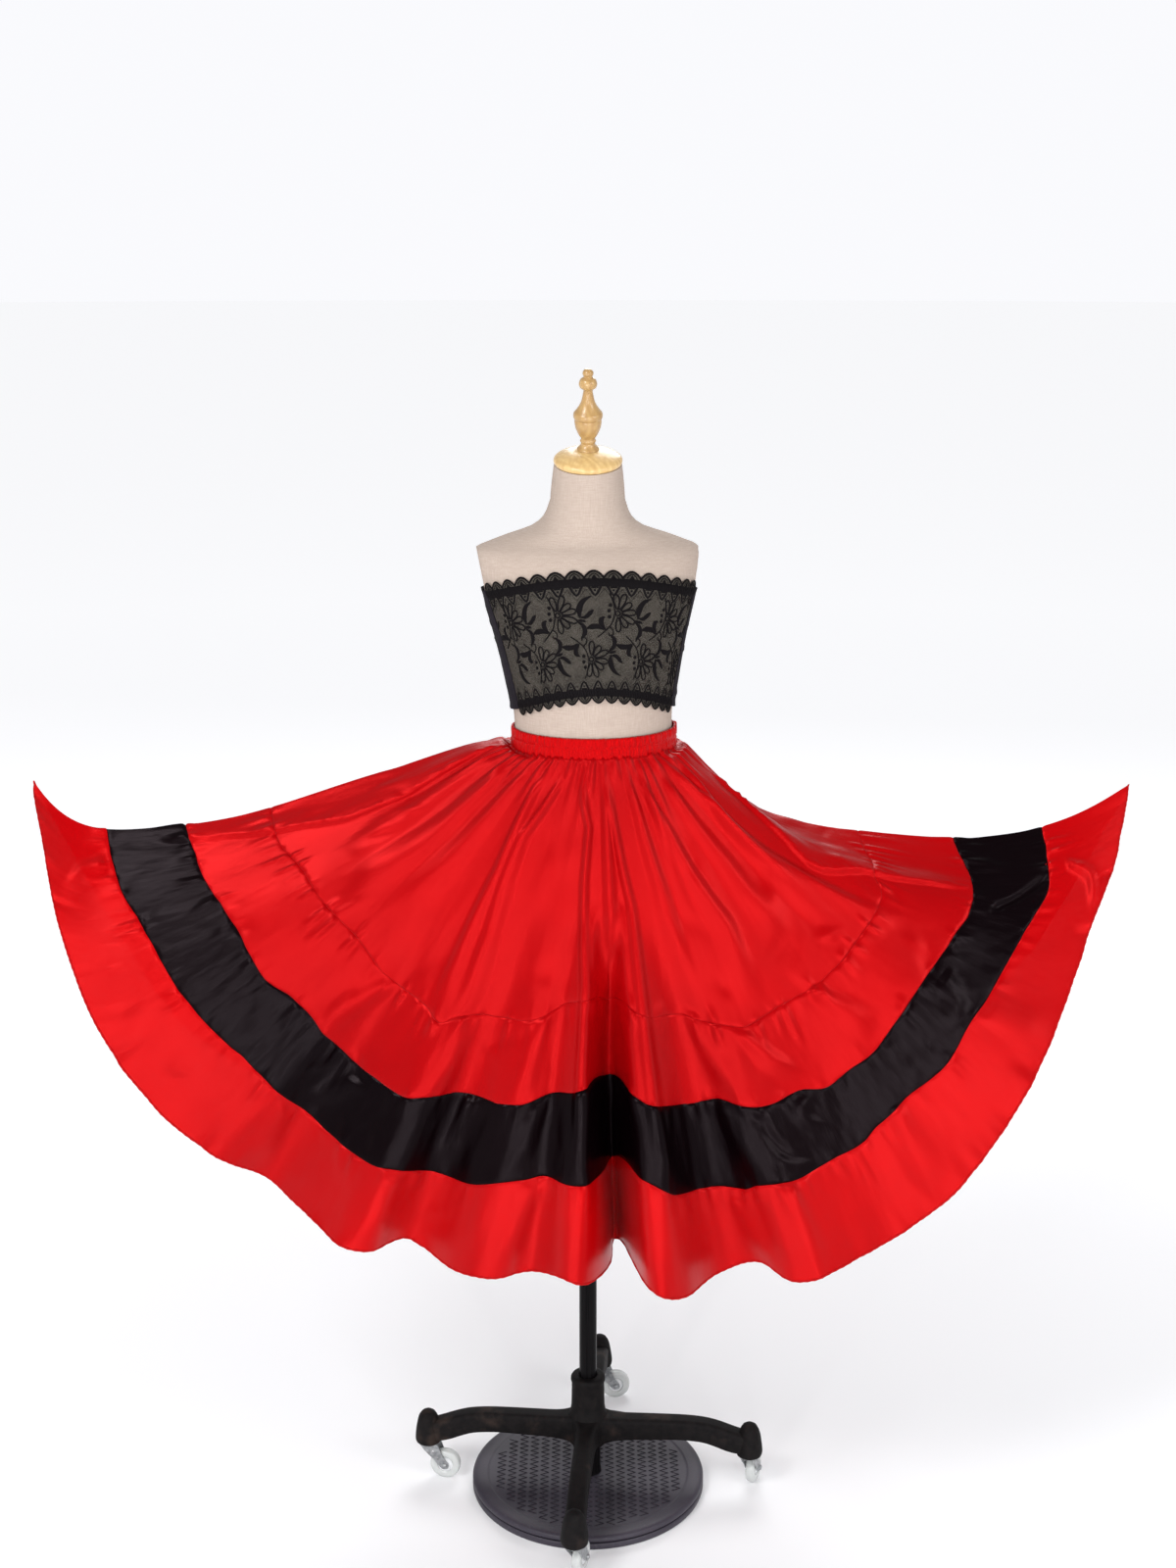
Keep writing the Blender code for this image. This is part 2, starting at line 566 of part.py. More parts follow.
def make_castor(name, turn):
    """A fork on its stem and the wheel on the fork's axle."""
    axis = castor_frame(turn).to_translation()
    trail = math.radians(CASTOR_TRAILS[name])
    pose = Matrix.Translation(axis) @ Matrix.Rotation(trail, 4, "Z")
    half = WHEEL_WIDTH / 2 + 0.0012
    fork = turned("castor_fork_" + name, [
        (0.0, STEM_TOP), (STEM_RADIUS, STEM_TOP), (STEM_RADIUS, FORK_TOP), (0.0120, FORK_TOP),
        (0.0125, FORK_TOP - 0.0006), (0.0125, FORK_TOP - 0.0024), (0.0, FORK_TOP - 0.0024),
    ], "zinc", steps=16)
    fork.matrix_world = pose
    cheek = [
        (-0.0100, FORK_TOP - 0.0012), (0.0115, FORK_TOP - 0.0012), (0.0210, 0.0290),
        (0.0270, 0.0225), (0.0270, 0.0165), (0.0225, 0.0145), (0.0175, 0.0160), (-0.0040, 0.0400),
    ]
    for side in (-1.0, 1.0):
        plate = outline_solid(f"cheek_{name}_{side:+.0f}", cheek, FORK_PLATE / 2, None, shaper=True)
        lift = Matrix.Rotation(math.pi / 2, 4, "X")
        plate.matrix_world = pose @ Matrix.Translation((0.0, side * (half + FORK_PLATE / 2), 0.0)) @ lift
        boolean(fork, plate, "UNION")
    axle = turned("axle_" + name, [
        (0.0, half + 0.0040), (AXLE_RADIUS, half + 0.0040), (AXLE_RADIUS, -half - 0.0040),
        (0.0, -half - 0.0040),
    ], None, steps=12, shaper=True)
    hub_centre = Matrix.Translation((CASTOR_TRAIL, 0.0, WHEEL_RADIUS))
    axle.matrix_world = pose @ hub_centre @ Matrix.Rotation(math.pi / 2, 4, "X")
    boolean(fork, axle, "UNION")
    flat = WHEEL_WIDTH / 2
    bore = AXLE_RADIUS + GAP
    wheel = turned("castor_wheel_" + name, [
        (bore, flat), (0.0165, flat), (WHEEL_RADIUS, flat - 0.0025),
        (WHEEL_RADIUS, -flat + 0.0025), (0.0165, -flat), (bore, -flat), (bore, flat),
    ], "clear_plastic", steps=24)
    wheel.matrix_world = pose @ hub_centre @ Matrix.Rotation(math.pi / 2, 4, "X")


def make_pole_and_plate():
    turned("pole", [
        (0.0, POLE_TOP), (POLE_RADIUS - 0.001, POLE_TOP), (POLE_RADIUS, POLE_TOP - 0.001),
        (POLE_RADIUS, SOCKET_FLOOR + GAP), (0.0, SOCKET_FLOOR + GAP),
    ], "black_steel")
    flange_top = FORM_BOTTOM - GAP
    inner = POLE_RADIUS + GAP
    turned("form_flange", [
        (inner, flange_top), (0.036, flange_top), (0.036, flange_top - 0.004),
        (0.020, flange_top - 0.006), (0.018, flange_top - 0.010), (0.018, 0.758), (0.016, 0.756),
        (inner, 0.756), (inner, flange_top),
    ], "black_steel")
    turned("ballast_post", [
        (0.0, HUB_BOTTOM - GAP), (POST_RADIUS, HUB_BOTTOM - GAP), (POST_RADIUS, PLATE_TOP + GAP),
        (0.0, PLATE_TOP + GAP),
    ], "black_steel")
    turned("ballast_plate_upper", [
        (0.0, PLATE_TOP), (PLATE_RADIUS - 0.004, PLATE_TOP), (PLATE_RADIUS - 0.0012, 0.0168),
        (PLATE_RADIUS, 0.0145), (PLATE_RADIUS, 0.0110), (PLATE_RADIUS - 0.003, 0.0100),
        (PLATE_RADIUS - 0.004, PLATE_SPLIT + GAP), (0.0, PLATE_SPLIT + GAP),
    ], "ballast", steps=48)
    turned("ballast_plate_lower", [
        (0.0, PLATE_SPLIT), (PLATE_RADIUS - 0.003, PLATE_SPLIT), (PLATE_RADIUS, 0.0070),
        (PLATE_RADIUS, 0.0020), (PLATE_RADIUS - 0.002, 0.0), (0.0, 0.0),
    ], "ballast", steps=48)


make_pole_and_plate()
make_base()
for castor_name, castor_turn in castor_turns():
    make_castor(castor_name, castor_turn)
make_torso()
make_neck_cap()
make_bandeau()
make_waistband()
make_skirt()
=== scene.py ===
"""Looks of the two-piece flamenco outfit on its dress form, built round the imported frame.

The frame is in metres, +Z up, +X to the right, the viewer on the -Y side.  Tables and
formulas that give a garment's form are the ones its solids were made with.
"""
import itertools
import math
import random

import bpy
import numpy as np
from mathutils import Matrix, Vector


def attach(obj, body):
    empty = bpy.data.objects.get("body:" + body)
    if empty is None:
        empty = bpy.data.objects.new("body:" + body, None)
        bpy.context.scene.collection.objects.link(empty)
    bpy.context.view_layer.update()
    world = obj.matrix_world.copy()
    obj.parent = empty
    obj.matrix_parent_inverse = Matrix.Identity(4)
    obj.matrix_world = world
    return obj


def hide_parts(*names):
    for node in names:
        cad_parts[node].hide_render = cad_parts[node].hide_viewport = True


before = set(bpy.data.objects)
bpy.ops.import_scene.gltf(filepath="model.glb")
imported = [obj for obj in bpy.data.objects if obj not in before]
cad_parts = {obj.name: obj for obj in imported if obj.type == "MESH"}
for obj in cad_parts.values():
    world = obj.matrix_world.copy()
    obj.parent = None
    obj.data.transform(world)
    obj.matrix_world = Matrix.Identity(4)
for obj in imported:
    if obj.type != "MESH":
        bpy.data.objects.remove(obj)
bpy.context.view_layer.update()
TAU = 2.0 * math.pi

# ---------------------------------------------------------------- camera, light, floor
CAMERA_AT = (0.0, -2.4, 1.554)
CAMERA_PITCH = math.radians(75.53)
FOCAL_LENGTH = 47.97


def set_stage():
    scene = bpy.context.scene
    camera = bpy.data.objects.new("camera", bpy.data.cameras.new("camera"))
    camera.data.lens = FOCAL_LENGTH
    camera.data.sensor_width = 36.0
    camera.location = CAMERA_AT
    camera.rotation_euler = (CAMERA_PITCH, 0.0, 0.0)
    scene.collection.objects.link(camera)
    scene.camera = camera
    scene.view_settings.view_transform = "Standard"

    world = bpy.data.worlds.new("studio")
    world.use_nodes = True
    nodes, links = world.node_tree.nodes, world.node_tree.links
    background = nodes["Background"]
    background.inputs["Color"].default_value = (0.955, 0.958, 0.985, 1.0)
    # bright round the horizon, dimmer overhead
    place = nodes.new("ShaderNodeTexCoord")
    parts = nodes.new("ShaderNodeSeparateXYZ")
    ramp = nodes.new("ShaderNodeMapRange")
    for key, value in (("From Min", 0.13), ("From Max", 0.42), ("To Min", 1.0), ("To Max", 0.42)):
        ramp.inputs[key].default_value = value
    links.new(place.outputs["Generated"], parts.inputs[0])
    links.new(parts.outputs["Z"], ramp.inputs["Value"])
    links.new(ramp.outputs["Result"], background.inputs["Strength"])
    scene.world = world

    # name, place, aim, width, height, power; the strips draw the satin's upright streaks
    softboxes = (
        ("key", (-1.7, -2.0, 3.0), (0.0, 0.0, 0.8), 1.0, 1.0, 54.0),
        ("fill", (2.3, -1.8, 2.2), (0.0, 0.0, 0.8), 1.0, 1.0, 26.0),
        ("rim", (0.3, 2.2, 2.8), (0.0, 0.0, 0.9), 1.6, 1.6, 44.0),
        ("left_strip", (-1.05, -2.9, 0.95), (0.0, 0.0, 0.7), 0.13, 1.7, 22.0),
        ("middle_strip", (0.1, -3.3, 0.8), (0.0, 0.0, 0.6), 0.11, 1.3, 13.0),
        ("right_strip", (0.95, -3.0, 0.95), (0.0, 0.0, 0.7), 0.13, 1.7, 19.0),
    )
    for name, place, aim, width, height, power in softboxes:
        lamp = bpy.data.lights.new(name, "AREA")
        lamp.shape = "RECTANGLE"
        lamp.size, lamp.size_y = width, height
        lamp.energy = power
        light = bpy.data.objects.new(name, lamp)
        light.location = place
        light.rotation_euler = (Vector(aim) - Vector(place)).to_track_quat("-Z", "Y").to_euler()
        light.visible_camera = False
        scene.collection.objects.link(light)


# ---------------------------------------------------------------- materials
class Look:
    """A procedural material being wired: its nodes, links and Principled shader."""

    def __init__(self, name, roughness, **sockets):
        self.material = bpy.data.materials.new(name)
        self.material.use_nodes = True
        tree = self.material.node_tree
        self.nodes, self.links = tree.nodes, tree.links
        self.bsdf = tree.nodes["Principled BSDF"]
        self.bsdf.inputs["Roughness"].default_value = roughness
        for socket, value in sockets.items():
            self.bsdf.inputs[socket.replace("_", " ")].default_value = value
        self.place = self.nodes.new("ShaderNodeTexCoord")
        self.last_bump = None

    def node(self, kind, inputs=(), **settings):
        made = self.nodes.new("ShaderNode" + kind)
        for key, value in settings.items():
            setattr(made, key, value)
        for key, value in dict(inputs).items():
            if isinstance(value, bpy.types.NodeSocket):
                self.links.new(value, made.inputs[key])
            else:
                made.inputs[key].default_value = value
        return made

    def stretched(self, scale, space="Object"):
        """Coordinates of that space, stretched by three factors."""
        vector = self.place.outputs[space]
        return self.node("Mapping", {"Vector": vector, "Scale": scale}).outputs[0]

    def noise(self, scale, detail=3.0, space="Object"):
        """Noise of one scale, or of three that stretch it."""
        vector = self.place.outputs[space]
        if isinstance(scale, tuple):
            vector, scale = self.stretched(scale, space), 1.0
        made = self.node("TexNoise", {"Vector": vector, "Scale": scale, "Detail": detail})
        return made.outputs["Fac"]

    def ramp(self, factor, low, high):
        """The factor's range from low to high spread over 0 to 1."""
        made = self.node("MapRange", {"Value": factor, "From Min": low, "From Max": high})
        return made.outputs["Result"]

    def mix(self, factor, first, second):
        pair = [one if isinstance(one, bpy.types.NodeSocket) else (*one, 1.0)
                for one in (first, second)]
        return self.node("Mix", {0: factor, 6: pair[0], 7: pair[1]}, data_type="RGBA").outputs[2]

    def math(self, operation, first, second=0.0):
        return self.node("Math", {0: first, 1: second}, operation=operation).outputs[0]

    def threads(self, pitch, along, space="UV"):
        """Fine straight lines of this pitch in metres, across U (X), V (Y) or Z."""
        return self.node("TexWave", {
            "Vector": self.place.outputs[space], "Scale": 0.314 / pitch, "Distortion": 0.0,
        }, bands_direction=along).outputs["Fac"]

    def colour(self, socket):
        self.links.new(socket, self.bsdf.inputs["Base Color"])
        return self

    def rough(self, factor, low, high):
        made = self.node("MapRange", {"Value": factor, "To Min": low, "To Max": high})
        self.links.new(made.outputs["Result"], self.bsdf.inputs["Roughness"])
        return self

    def bump(self, height, distance, strength=1.0):
        made = self.node("Bump", {"Height": height, "Distance": distance, "Strength": strength})
        if self.last_bump:
            self.links.new(self.last_bump, made.inputs["Normal"])
        self.last_bump = made.outputs["Normal"]
        self.links.new(self.last_bump, self.bsdf.inputs["Normal"])
        return self


def satin(name, light, dark, gloss, gloss_tint, roughness, alpha=1.0, ripple=1.0):
    look = Look(name, roughness, Anisotropic=0.55, Specular_IOR_Level=gloss, Alpha=alpha)
    look.bsdf.inputs["Specular Tint"].default_value = (*gloss_tint, 1.0)
    tone = look.ramp(look.noise(5.0), 0.35, 0.65)
    yarn = look.noise((900.0, 30.0, 1.0), 2.0, "UV")
    body = look.mix(tone, light, dark)
    look.colour(look.mix(look.math("MULTIPLY", yarn, 0.35), body, dark))
    look.bump(look.threads(0.0007, "X"), 0.00003, 0.6)
    look.bump(look.threads(0.0011, "DIAGONAL"), 0.00003, 0.4)
    look.bump(yarn, 0.00006, 0.6)
    look.bump(look.noise((26.0, 9.0, 1.0), 2.0, "UV"), 0.006 * ripple, 0.3)
    look.bump(look.noise((70.0, 14.0, 1.0), 4.0, "UV"), 0.001 * ripple, 0.35)
    return look.material


def one_noise(name, roughness, noise, pale, dark, bump, span=None, rough=None, **sockets):
    """A look of one noise, which mixes its two colours and gives its relief and its roughness."""
    look = Look(name, roughness, **sockets)
    grain = look.noise(*noise)
    tone = look.ramp(grain, *span) if span else grain
    look.colour(look.mix(tone, pale, dark)).bump(grain, *bump)
    return (look.rough(grain, *rough) if rough else look).material


def make_looks():
    red_gloss = (1.0, 0.04, 0.041)
    looks = {
        "red": satin("red_satin", (0.35, 0.0006, 0.0018), (0.278, 0.0004, 0.0016),
                     1.0, red_gloss, 0.29),
        # the flounce's copy of the red satin is painted paler than the tiers': painted light,
        # standing in for light shining through its single layer
        "red_single": satin("red_satin_flounce", (0.43, 0.0006, 0.0018), (0.355, 0.0004, 0.0017),
                            1.0, red_gloss, 0.29, alpha=0.94),
        "black": satin("black_satin", (0.0022, 0.0004, 0.0008), (0.0014, 0.0002, 0.0006),
                       0.074, (1.0, 0.82, 0.9), 0.28, ripple=2.6),
        "motif": one_noise("lace_motif", 0.75, ((2600.0, 500.0, 1.0), 2.0, "UV"),
                           (0.0024, 0.0019, 0.0024), (0.0066, 0.0055, 0.0062), (0.0003, 0.8),
                           Specular_IOR_Level=0.06),
        "steel": one_noise("pole_enamel", 0.3, ((260.0, 260.0, 8.0), 4.0),
                           (0.003, 0.0026, 0.003), (0.008, 0.0071, 0.0077), (0.0001, 0.4),
                           (0.4, 0.75), (0.16, 0.42), Specular_IOR_Level=0.06),
        "zinc": one_noise("zinc_plate", 0.32, (220.0, 4.0), (0.24, 0.25, 0.26), (0.42, 0.43, 0.44),
                          (0.0002, 0.5), (0.35, 0.65), (0.24, 0.46), Metallic=0.85),
        "clear": one_noise("clear_wheel", 0.2, (160.0,), (0.72, 0.74, 0.73), (0.6, 0.62, 0.61),
                           (0.0003, 0.4), None, (0.08, 0.26), Transmission_Weight=0.3, IOR=1.49),
        "nylon": one_noise("white_nylon", 0.4, (300.0,), (0.78, 0.79, 0.8), (0.62, 0.63, 0.65),
                           (0.0002, 0.4)),
    }

    look = Look("red_thread", 0.7, Specular_IOR_Level=0.1)
    twist = look.threads(0.0012, "X")
    look.colour(look.mix(twist, (0.32, 0.002, 0.003), (0.5, 0.003, 0.004)))
    looks["red_thread"] = look.bump(twist, 0.0003).material

    look = Look("shirred_satin", 0.42, Specular_IOR_Level=0.5)
    look.bsdf.inputs["Specular Tint"].default_value = (*red_gloss, 1.0)
    # the crush noise gives the shirred casing its fine crinkled bump and also paints the crinkles'
    # shade into its colour: painted shade, darker where the noise is higher
    crush_and_shade = look.noise((700.0, 160.0, 1.0), 3.0, "UV")
    look.colour(look.mix(look.ramp(crush_and_shade, 0.35, 0.7), (0.47, 0.0016, 0.0026),
                         (0.3, 0.0009, 0.002)))
    looks["shirred"] = look.bump(crush_and_shade, 0.0007, 0.8).bump(
        look.threads(0.0007, "X"), 0.00003, 0.5).material

    look = Look("lace_net", 0.85, Specular_IOR_Level=0.1)
    warp = look.threads(0.0011, "X")
    weft = look.threads(0.0008, "Y")
    haze = look.ramp(look.noise(90.0), 0.3, 0.75)
    look.colour(look.mix(haze, (0.063, 0.0555, 0.0465), (0.041, 0.0362, 0.0308)))
    open_net = look.math("MULTIPLY", warp, weft)
    cover = look.node("MapRange", {"Value": open_net, "To Min": 0.88, "To Max": 0.48})
    look.links.new(cover.outputs["Result"], look.bsdf.inputs["Alpha"])
    looks["net"] = look.bump(warp, 0.0002, 0.6).bump(weft, 0.0002, 0.5).material

    look = Look("black_knit", 0.85, Specular_IOR_Level=0.15)
    ribs = look.threads(0.0016, "X")
    cloud = look.ramp(look.noise(26.0), 0.3, 0.7)
    body = look.mix(cloud, (0.007, 0.005, 0.009), (0.013, 0.009, 0.0165))
    look.colour(look.mix(look.math("MULTIPLY", ribs, 0.5), body, (0.002, 0.0015, 0.0025)))
    look.bump(ribs, 0.0004, 0.8)
    looks["knit"] = look.bump(look.threads(0.0012, "Y"), 0.0003, 0.6).material

    look = Look("linen_cover", 0.92, Specular_IOR_Level=0.15)
    slub_across = look.noise((90.0, 90.0, 1500.0))
    slub_down = look.noise((1300.0, 1300.0, 60.0))
    patch = look.ramp(look.noise(14.0, 4.0), 0.35, 0.7)
    body = look.mix(patch, (0.462, 0.38, 0.326), (0.432, 0.354, 0.302))
    woven = look.math("MULTIPLY", look.math("ADD", slub_across, slub_down), 0.5)
    look.colour(look.mix(look.ramp(woven, 0.4, 0.62), (0.384, 0.309, 0.26), body))
    looks["linen"] = look.bump(woven, 0.0008, 0.8).material

    # the cap's copy of the beech is painted paler than the finial's: painted light on the cap
    for name, pale, brown, ring in (
            ("wood", (0.465, 0.298, 0.116), (0.365, 0.212, 0.07), (0.325, 0.174, 0.058)),
            ("cap_wood", (0.69, 0.49, 0.215), (0.56, 0.36, 0.135), (0.5, 0.3, 0.11))):
        look = Look(name, 0.3, Coat_Weight=0.25, Coat_Roughness=0.15)
        grain = look.noise((190.0, 190.0, 22.0), 5.0)
        rings = look.node("TexWave", {
            "Vector": look.stretched((1.0, 1.0, 0.25)), "Scale": 60.0, "Distortion": 6.0,
            "Detail": 3.0, "Detail Scale": 1.5,
        }, bands_direction="DIAGONAL").outputs["Fac"]
        body = look.mix(look.ramp(grain, 0.35, 0.7), pale, brown)
        look.colour(look.mix(look.math("MULTIPLY", rings, 0.45), body, ring))
        looks[name] = look.bump(grain, 0.0002, 0.5).rough(grain, 0.22, 0.42).material

    look = Look("cast_paint", 0.62, Specular_IOR_Level=0.09)
    lumps = look.noise(120.0, 5.0)
    worn = look.ramp(look.noise(28.0, 6.0), 0.56, 0.7)
    dark = look.mix(look.ramp(lumps, 0.35, 0.65), (0.0046, 0.004, 0.0043), (0.009, 0.0074, 0.0075))
    look.colour(look.mix(worn, dark, (0.027, 0.0185, 0.0155)))
    look.rough(lumps, 0.48, 0.78).bump(lumps, 0.001, 0.5)
    looks["iron"] = look.bump(look.noise(900.0), 0.0003, 0.5).material

    look = Look("ballast_coating", 0.55, Specular_IOR_Level=0.25)
    haze = look.ramp(look.noise(9.0, 4.0), 0.35, 0.7)
    dust = look.ramp(look.noise(240.0, 5.0), 0.6, 0.8)
    body = look.mix(haze, (0.035, 0.03, 0.042), (0.051, 0.045, 0.059))
    look.colour(look.mix(look.math("MULTIPLY", dust, 0.5), body, (0.12, 0.11, 0.13)))
    looks["ballast"] = look.rough(dust, 0.45, 0.7).bump(look.noise(500.0), 0.0003, 0.5).material

    look = Look("ballast_ribs", 0.6, Specular_IOR_Level=0.2)
    look.colour(look.mix(look.noise(60.0), (0.012, 0.01, 0.015), (0.021, 0.018, 0.025)))
    looks["ribs"] = look.bump(look.noise(500.0), 0.0003, 0.5).material

    look = Look("studio_floor", 0.9, Specular_IOR_Level=0.0)
    # painted light: the floor's colour turns paler and its glow stronger with distance from the
    # stand, so that it fades into the white backdrop where the lamps' light falls off
    away = look.node("VectorMath", {0: look.place.outputs["Object"]}, operation="LENGTH")
    away = away.outputs["Value"]
    near = look.mix(look.noise(1.5, 2.0), (0.8, 0.802, 0.815), (0.79, 0.793, 0.808))
    look.colour(look.mix(look.ramp(away, 0.8, 7.0), near, (0.985, 0.985, 0.985)))
    look.bsdf.inputs["Emission Color"].default_value = (0.98, 0.985, 1.0, 1.0)
    glow = look.node("MapRange", {
        "Value": away, "From Min": 0.3, "From Max": 4.0, "To Min": 0.14, "To Max": 0.5})
    look.links.new(glow.outputs["Result"], look.bsdf.inputs["Emission Strength"])
    looks["floor"] = look.material
    return looks


set_stage()
LOOKS = make_looks()


# ---------------------------------------------------------------- mesh helpers
def finish_piece(name, shape, look, slot, replaces=(), body="root", angle=40.0, wall=0.0):
    """Make a piece from a mesh or a pile, shade it, and tie it to its body and CAD nodes.

    A wall thickens it outwards by that much, or inwards if it is negative.
    """
    mesh = shape.mesh(name) if isinstance(shape, Pile) else shape
    piece = bpy.data.objects.new(name, mesh)
    bpy.context.scene.collection.objects.link(piece)
    for one in [look] if isinstance(look, str) else look:
        mesh.materials.append(LOOKS[one])
    mesh.shade_smooth()
    mesh.set_sharp_from_angle(angle=math.radians(angle))
    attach(piece, body)
    if replaces:
        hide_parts(*replaces)
    if wall:
        solid = piece.modifiers.new("wall", "SOLIDIFY")
        solid.thickness = abs(wall)
        solid.offset = math.copysign(1.0, wall)
    return piece


def grid_mesh(name, grid, ring=False, uv=None):
    """A mesh through a grid of points; a ring joins its last column to its first."""
    rows, columns = grid.shape[:2]
    ids = np.arange(rows * columns).reshape(rows, columns)
    if ring:
        ids = np.concatenate([ids, ids[:, :1]], axis=1)
    quads = np.stack([ids[:-1, :-1], ids[1:, :-1], ids[1:, 1:], ids[:-1, 1:]], -1).reshape(-1, 4)
    mesh = bpy.data.meshes.new(name)
    mesh.vertices.add(rows * columns)
    mesh.vertices.foreach_set("co", grid.reshape(-1).astype(np.float32))
    mesh.loops.add(quads.size)
    mesh.loops.foreach_set("vertex_index", quads.reshape(-1).astype(np.int32))
    mesh.polygons.add(len(quads))
    mesh.polygons.foreach_set("loop_start", np.arange(0, quads.size, 4, dtype=np.int32))
    mesh.update(calc_edges=True)
    if uv is not None:
        corners = np.stack([uv[:-1, :-1], uv[1:, :-1], uv[1:, 1:], uv[:-1, 1:]], -2)
        layer = mesh.uv_layers.new(name="cloth")
        layer.data.foreach_set("uv", corners.reshape(-1).astype(np.float32))
    mesh.validate()
    return mesh


class Pile:
    """Many small shapes gathered into one mesh."""

    def __init__(self):
        self.points, self.faces, self.finishes = [], [], []

    def add(self, points, faces, finish=0):
        start = len(self.points)
        self.points.extend(points)
        self.faces.extend(tuple(start + i for i in face) for face in faces)
        self.finishes.extend([finish] * len(faces))

    def mesh(self, name):
        mesh = bpy.data.meshes.new(name)
        mesh.from_pydata([tuple(point) for point in self.points], [], self.faces)
        mesh.polygons.foreach_set("material_index", self.finishes)
        mesh.update()
        return mesh


def smooth_line(points, steps):
    """A Catmull-Rom line through the points."""
    ends = [points[0]] + list(points) + [points[-1]]
    line = []
    for i in range(1, len(ends) - 2):
        a, b, c, d = (np.array(ends[i + k], float) for k in (-1, 0, 1, 2))
        for step in range(steps):
            t = step / steps
            line.append(0.5 * (2 * b + (c - a) * t + (2 * a - 5 * b + 4 * c - d) * t * t
                               + (3 * b - a - 3 * c + d) * t ** 3))
    line.append(np.array(points[-1], float))
    return line


def mm(*rows):
    """Rows of lengths in millimetres, turned into metres."""
    return [tuple(0.001 * value for value in row) for row in rows]


def turn(pile, profile, steps, place=Matrix.Identity(4), finish=0, wobble=None):
    """Turn a profile of (radius, height) about the place's Z axis; it starts at the top."""
    rings = []
    for radius, height in reversed(profile):
        ring = []
        for step in range(steps):
            angle = TAU * step / steps
            r = max(radius, 0.00001) + (wobble(angle, height) if wobble else 0.0)
            ring.append(place @ Vector((r * math.cos(angle), r * math.sin(angle), height)))
        rings.append(ring)
    loft(pile, rings, closed_ends=False, finish=finish)


def make_turned(name, node, look, slot, steps, profile, place=Matrix.Identity(4), angle=35.0):
    pile = Pile()
    turn(pile, profile, steps, place)
    return finish_piece(name, pile, look, slot, (node,), angle=angle)


def loft(pile, rings, closed_ends=True, finish=0, wrap=True):
    """Join rings of equal count; they run so that their faces look outwards."""
    count = len(rings[0])
    faces = []
    for row in range(len(rings) - 1):
        for i in range(count if wrap else count - 1):
            here, beside = row * count + i, row * count + (i + 1) % count
            faces.append((here, beside, beside + count, here + count))
    if closed_ends:
        faces.append(tuple(range(count - 1, -1, -1)))
        last = (len(rings) - 1) * count
        faces.append(tuple(range(last, last + count)))
    pile.add([point for ring in rings for point in ring], faces, finish)


# ---------------------------------------------------------------- form of the garment
def named_rows(columns, rows):
    return [dict(zip(columns, row)) for row in rows]


FORM_TURN = math.radians(5)
CLOTH = 0.0012                # wall of the cloth solids
SEAM_GAP = 0.0003
WAISTBAND_BOTTOM = 0.982
WAISTBAND_HEIGHT = 0.026
WAISTBAND_CLOTH = 1.3        # length of the casing's cloth before it is shirred
TORSO_LEAN = 0.03
WAIST_HALF_WIDTH = 0.0975
WAIST_HALF_DEPTH = 0.081
TIER_LENGTHS = {"tier_1": 0.29, "tier_2": 0.105, "band": 0.1, "flounce": 0.115}
SKIRT_LENGTH = sum(TIER_LENGTHS.values())
SAG_FLATNESS = 3.0

# radial lines of the skirt, the ones its solids were made with: degrees round the hem, degrees
# from level, reach and forward place of the hem, sag and where it is lowest, and its spread
SPOKE_COLUMNS = ("around", "fan", "reach", "forward", "sag", "low", "spread")
SPOKES = named_rows(SPOKE_COLUMNS, (
    (0, 4.0, 0.658, 0.0, 0.066, 0.72, 0.18), (10, 12.0, 0.655, 0.045, 0.052, 0.72, 0.12),
    (20, 20.5, 0.656, 0.075, 0.024, 0.66, 0.05), (30, 29.5, 0.656, 0.105, 0.01, 0.6, 0.02),
    (45, 44.5, 0.645, 0.135, 0.0, 0.5, 0.04), (60, 58.5, 0.625, 0.165, 0.0, 0.5, 0.12),
    (75, 74.0, 0.595, 0.19, 0.0, 0.5, 0.06), (90, 90.0, 0.572, 0.21, 0.0, 0.5, 0.0),
    (105, 104.0, 0.597, 0.215, 0.0, 0.5, 0.05), (120, 118.0, 0.63, 0.21, 0.0, 0.5, 0.13),
    (135, 132.5, 0.643, 0.175, 0.005, 0.5, 0.19), (150, 149.0, 0.622, 0.125, 0.02, 0.5, 0.16),
    (160, 160.0, 0.618, 0.085, 0.042, 0.5, 0.08), (170, 169.0, 0.63, 0.045, 0.074, 0.5, -0.04),
    (180, 175.5, 0.64, 0.0, 0.085, 0.5, -0.12), (190, 168.0, 0.628, -0.03, 0.074, 0.5, -0.08),
    (205, 155.0, 0.615, -0.055, 0.03, 0.5, 0.0), (225, 135.0, 0.62, -0.09, 0.0, 0.5, 0.0),
    (250, 110.0, 0.615, -0.13, 0.0, 0.5, 0.0), (270, 90.0, 0.6, -0.155, 0.0, 0.5, 0.0),
    (290, 70.0, 0.615, -0.13, 0.0, 0.5, 0.0), (315, 45.0, 0.625, -0.09, 0.0, 0.5, 0.0),
    (335, 25.0, 0.632, -0.055, 0.02, 0.62, 0.04), (350, 12.5, 0.64, -0.03, 0.054, 0.72, 0.12),
    (360, 4.0, 0.658, 0.0, 0.066, 0.72, 0.18),
))

